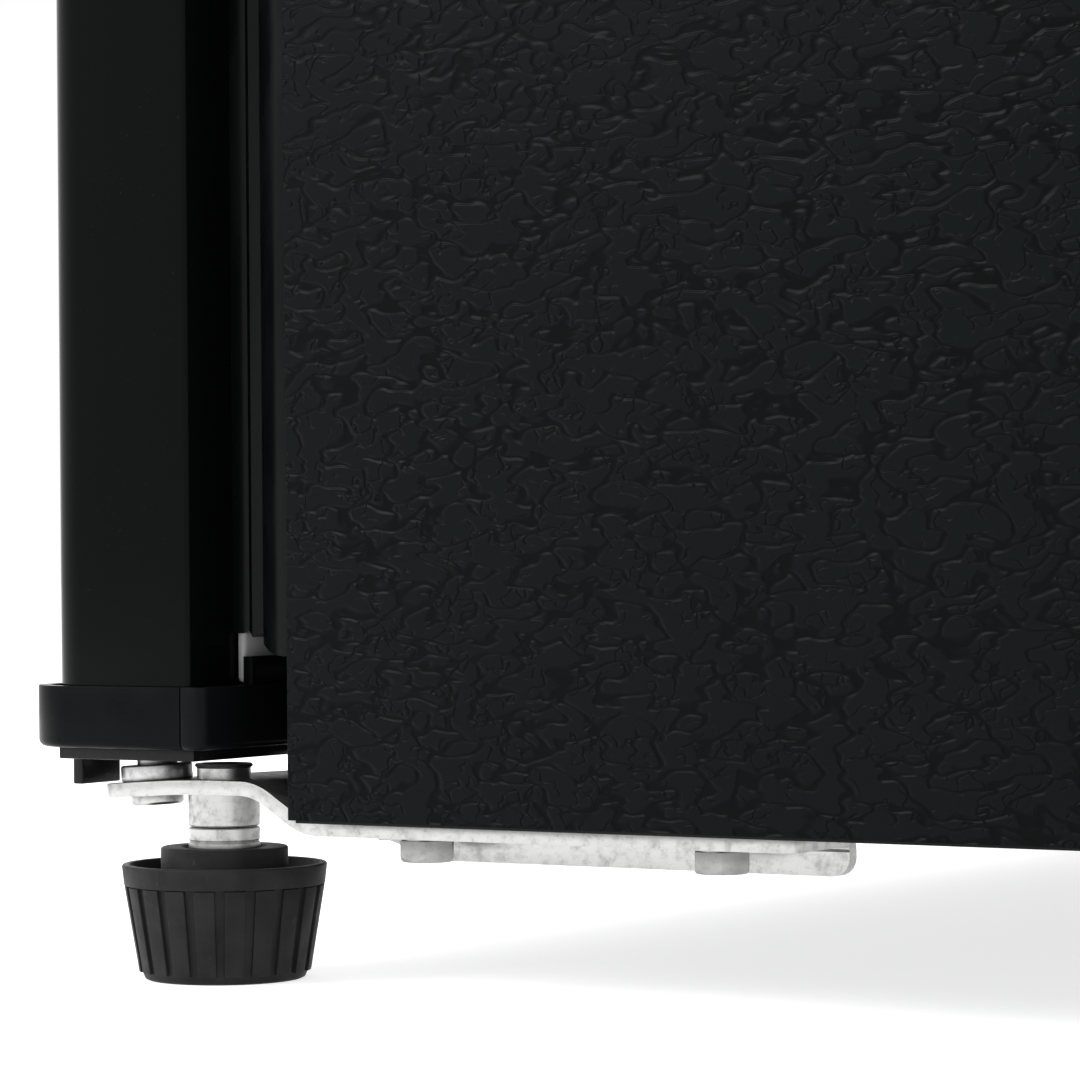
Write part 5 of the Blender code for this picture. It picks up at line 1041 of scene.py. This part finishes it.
class FRIDGE_OT_cooling(Step):
    """Compressor with its mount and terminal box, condenser with its wires, pipes and pan"""

    bl_idname = "fridge.cooling"
    bl_label = "Cooling circuit"

    def build(self, sizes, colours):
        enamel, plastic, copper = black_enamel(), satin_mould(colours, "rear_plastic"), pipe_copper(colours)
        shell = copied("compressor_shell", "compressor", flatten=False)
        modifier(shell, "SUBSURF", levels=1, render_levels=1)
        finished(shell, "cabinet", black_enamel("compressor_enamel", 0.28), "black_steel", "compressor",
                 smooth=PIPE_SMOOTH)
        for name, node in (("mount_plate", "compressor_mount"), ("strap_right", "condenser_strap_right"),
                           ("strap_left", "condenser_strap_left")):
            traced(name, node, "cabinet", enamel, "black_steel", 0.25 * MM)
        traced("condenser_tube", "condenser_coil", "cabinet", enamel, "black_steel", flatten=False, smooth=PIPE_SMOOTH)
        for name, node in (("terminal_cover", "terminal_box"), ("lead_inlet", "mains_inlet"),
                           ("drain_pan", "evaporation_pan")):
            traced(name, node, "cabinet", plastic, "moulded_black", 0.5 * MM, 3)
        for name, node in (("drier", "filter_drier"), ("discharge_tube", "discharge_pipe"),
                           ("suction_tube", "suction_pipe")):
            traced(name, node, "cabinet", copper, "copper", flatten=False, smooth=PIPE_SMOOTH)
        self.wires(sizes, enamel)

    def wires(self, sizes, enamel):
        """Upright wires welded to the front of the condenser tube."""
        low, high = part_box("condenser_coil")
        tube = 4.8 * MM
        straps = [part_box(f"condenser_strap_{side}") for side in ("left", "right")]
        radius = sizes.wire / 2
        bottom, top = low.z + 40 * MM, high.z - 2 * MM
        y = high.y - tube - radius + 0.3 * MM
        select_only()
        bpy.ops.mesh.primitive_cylinder_add(vertices=8, radius=radius, depth=top - bottom - 2 * radius,
                                            location=(0, 0, (top + bottom) / 2))
        wire = added("condenser_wire")
        settle()
        edit(wire)
        for end in (-1, 1):
            pick(wire, "FACE", lambda middle, normal: normal.z * end > 0.9)
            extrude((0, 0, end * radius))
            bpy.ops.transform.resize(value=(0.5, 0.5, 1), center_override=(0, 0, 0))
        object_mode()
        places = []
        reach = high.x - 14 * MM
        x = -reach
        while x <= reach:
            if not any(a.x - 1.5 * MM < x < b.x + 1.5 * MM for a, b in straps):
                places.append(x)
            x += sizes.wire_pitch
        wires = [repeated(wire, f"condenser_wire_{count}", (x, y, 0)) for count, x in enumerate(places)]
        bpy.data.objects.remove(wire)
        finished(joined("condenser_wires", wires), "cabinet", enamel, "black_steel", smooth=PIPE_SMOOTH)


class FRIDGE_OT_stage(Step):
    """Pale floor, soft lamps, an even white surround and the camera"""

    bl_idname = "fridge.stage"
    bl_label = "Stage"
    # Lamp name, place, size in metres, power in watts.
    lamps = (
        ("key_lamp", (1.7, -1.6, 1.5), 1.3, 30.0),
        ("fill_lamp", (0.9, 1.6, 1.2), 1.4, 5.0),
        ("top_lamp", (0.0, 0.0, 2.4), 1.8, 26.0),
        ("rear_lamp", (-1.6, 1.2, 1.4), 1.2, 12.0),
        ("front_lamp", (-1.3, -1.8, 1.2), 1.2, 12.0),
    )
    camera_from_side, camera_behind_front, camera_height = 652.5 * MM, 465 * MM, 86.2 * MM
    camera_heading = 32.0
    camera_roll = -0.45
    lens, sensor = 140.0, 36.0

    def build(self, sizes, colours):
        self.floor()
        self.surround()
        for name, place, size, power in self.lamps:
            light = bpy.data.lights.new(name, "AREA")
            light.shape, light.size, light.energy = "DISK", size, power
            lamp = bpy.data.objects.new(name, light)
            lamp.location = place
            lamp.rotation_euler = (Vector((0.05, -0.05, 0.15)) - lamp.location).to_track_quat("-Z", "Y").to_euler()
            bpy.context.collection.objects.link(lamp)
        self.camera()
        bpy.context.scene.view_settings.view_transform = "Standard"

    def seen(self, nodes, links):
        """1 for what the camera, a mirror or glass looks at, and 0 for the light that falls on things."""
        path = nodes.new("ShaderNodeLightPath")
        total = path.outputs["Is Camera Ray"]
        for ray in ("Is Glossy Ray", "Is Transmission Ray"):
            either = nodes.new("ShaderNodeMath")
            either.operation = "MAXIMUM"
            links.new(total, either.inputs[0])
            links.new(path.outputs[ray], either.inputs[1])
            total = either.outputs[0]
        return total

    def floor(self):
        select_only()
        bpy.ops.mesh.primitive_plane_add(size=12, location=(0, 0, -0.02 * MM))
        ground = added("floor")
        edit(ground)
        bpy.ops.mesh.subdivide(number_cuts=3)
        object_mode()
        look = bpy.data.materials.new("pale_floor")
        look.use_nodes = True
        nodes, links = look.node_tree.nodes, look.node_tree.links
        shader = nodes["Principled BSDF"]
        shader.inputs["Base Color"].default_value = (0.80, 0.80, 0.80, 1)
        shader.inputs["Roughness"].default_value = 0.9
        shader.inputs["Specular IOR Level"].default_value = 0.1
        shader.inputs["Emission Color"].default_value = (1, 1, 1, 1)
        lift = nodes.new("ShaderNodeMath")
        lift.operation = "MULTIPLY"
        lift.inputs[1].default_value = 0.75
        links.new(self.seen(nodes, links), lift.inputs[0])
        links.new(lift.outputs[0], shader.inputs["Emission Strength"])
        ground.data.materials.append(look)

    def surround(self):
        world = bpy.data.worlds.new("studio")
        bpy.context.scene.world = world
        world.use_nodes = True
        nodes, links = world.node_tree.nodes, world.node_tree.links
        back = nodes["Background"]
        back.inputs["Color"].default_value = (1, 1, 1, 1)
        span = nodes.new("ShaderNodeMapRange")
        span.inputs["To Min"].default_value = 0.55
        span.inputs["To Max"].default_value = 1.0
        links.new(self.seen(nodes, links), span.inputs["Value"])
        links.new(span.outputs["Result"], back.inputs["Strength"])

    def camera(self):
        camera = bpy.data.cameras.new("view")
        camera.lens, camera.sensor_width = self.lens, self.sensor
        camera.clip_start, camera.clip_end = 0.05, 50
        holder = bpy.data.objects.new("view", camera)
        bpy.context.collection.objects.link(holder)
        holder.location = (SIDE_X + self.camera_from_side, FRONT_Y + self.camera_behind_front, self.camera_height)
        heading = math.radians(90 + self.camera_heading)
        level = Vector((-math.sin(heading), math.cos(heading), 0))
        look = level.to_track_quat("-Z", "Y").to_matrix()
        view_axis = Vector((0, 0, 1))
        rolled = Matrix.Rotation(math.radians(self.camera_roll), 3, view_axis)
        holder.rotation_euler = (look @ rolled).to_euler()
        bpy.context.scene.camera = holder


STEPS = (FRIDGE_OT_cabinet, FRIDGE_OT_door_shell, FRIDGE_OT_door_caps, FRIDGE_OT_gasket, FRIDGE_OT_hinge_brackets,
         FRIDGE_OT_bolts, FRIDGE_OT_pivot, FRIDGE_OT_feet, FRIDGE_OT_upper_hinge, FRIDGE_OT_interior,
         FRIDGE_OT_cooling, FRIDGE_OT_stage)


class FRIDGE_PT_tools(bpy.types.Panel):
    """Sizes, colours and building steps of the refrigerator"""

    bl_label = "Compact refrigerator"
    bl_space_type = "VIEW_3D"
    bl_region_type = "UI"
    bl_category = "Fridge"

    def draw(self, context):
        for group in (context.scene.fridge_sizes, context.scene.fridge_colours):
            box = self.layout.box()
            for name in group.__annotations__:
                box.prop(group, name)
        column = self.layout.column(align=True)
        for step in STEPS:
            column.operator(step.bl_idname)


CLASSES = (FridgeSizes, FridgeColours, *STEPS, FRIDGE_PT_tools)


def register():
    for item in CLASSES:
        bpy.utils.register_class(item)
    bpy.types.Scene.fridge_sizes = bpy.props.PointerProperty(type=FridgeSizes)
    bpy.types.Scene.fridge_colours = bpy.props.PointerProperty(type=FridgeColours)


def unregister():
    del bpy.types.Scene.fridge_colours
    del bpy.types.Scene.fridge_sizes
    for item in reversed(CLASSES):
        bpy.utils.unregister_class(item)


def main():
    register()
    for step in STEPS:
        group, name = step.bl_idname.split(".")
        getattr(getattr(bpy.ops, group), name)()
    object_mode()
    bpy.context.view_layer.update()


if __name__ == "__main__":
    main()
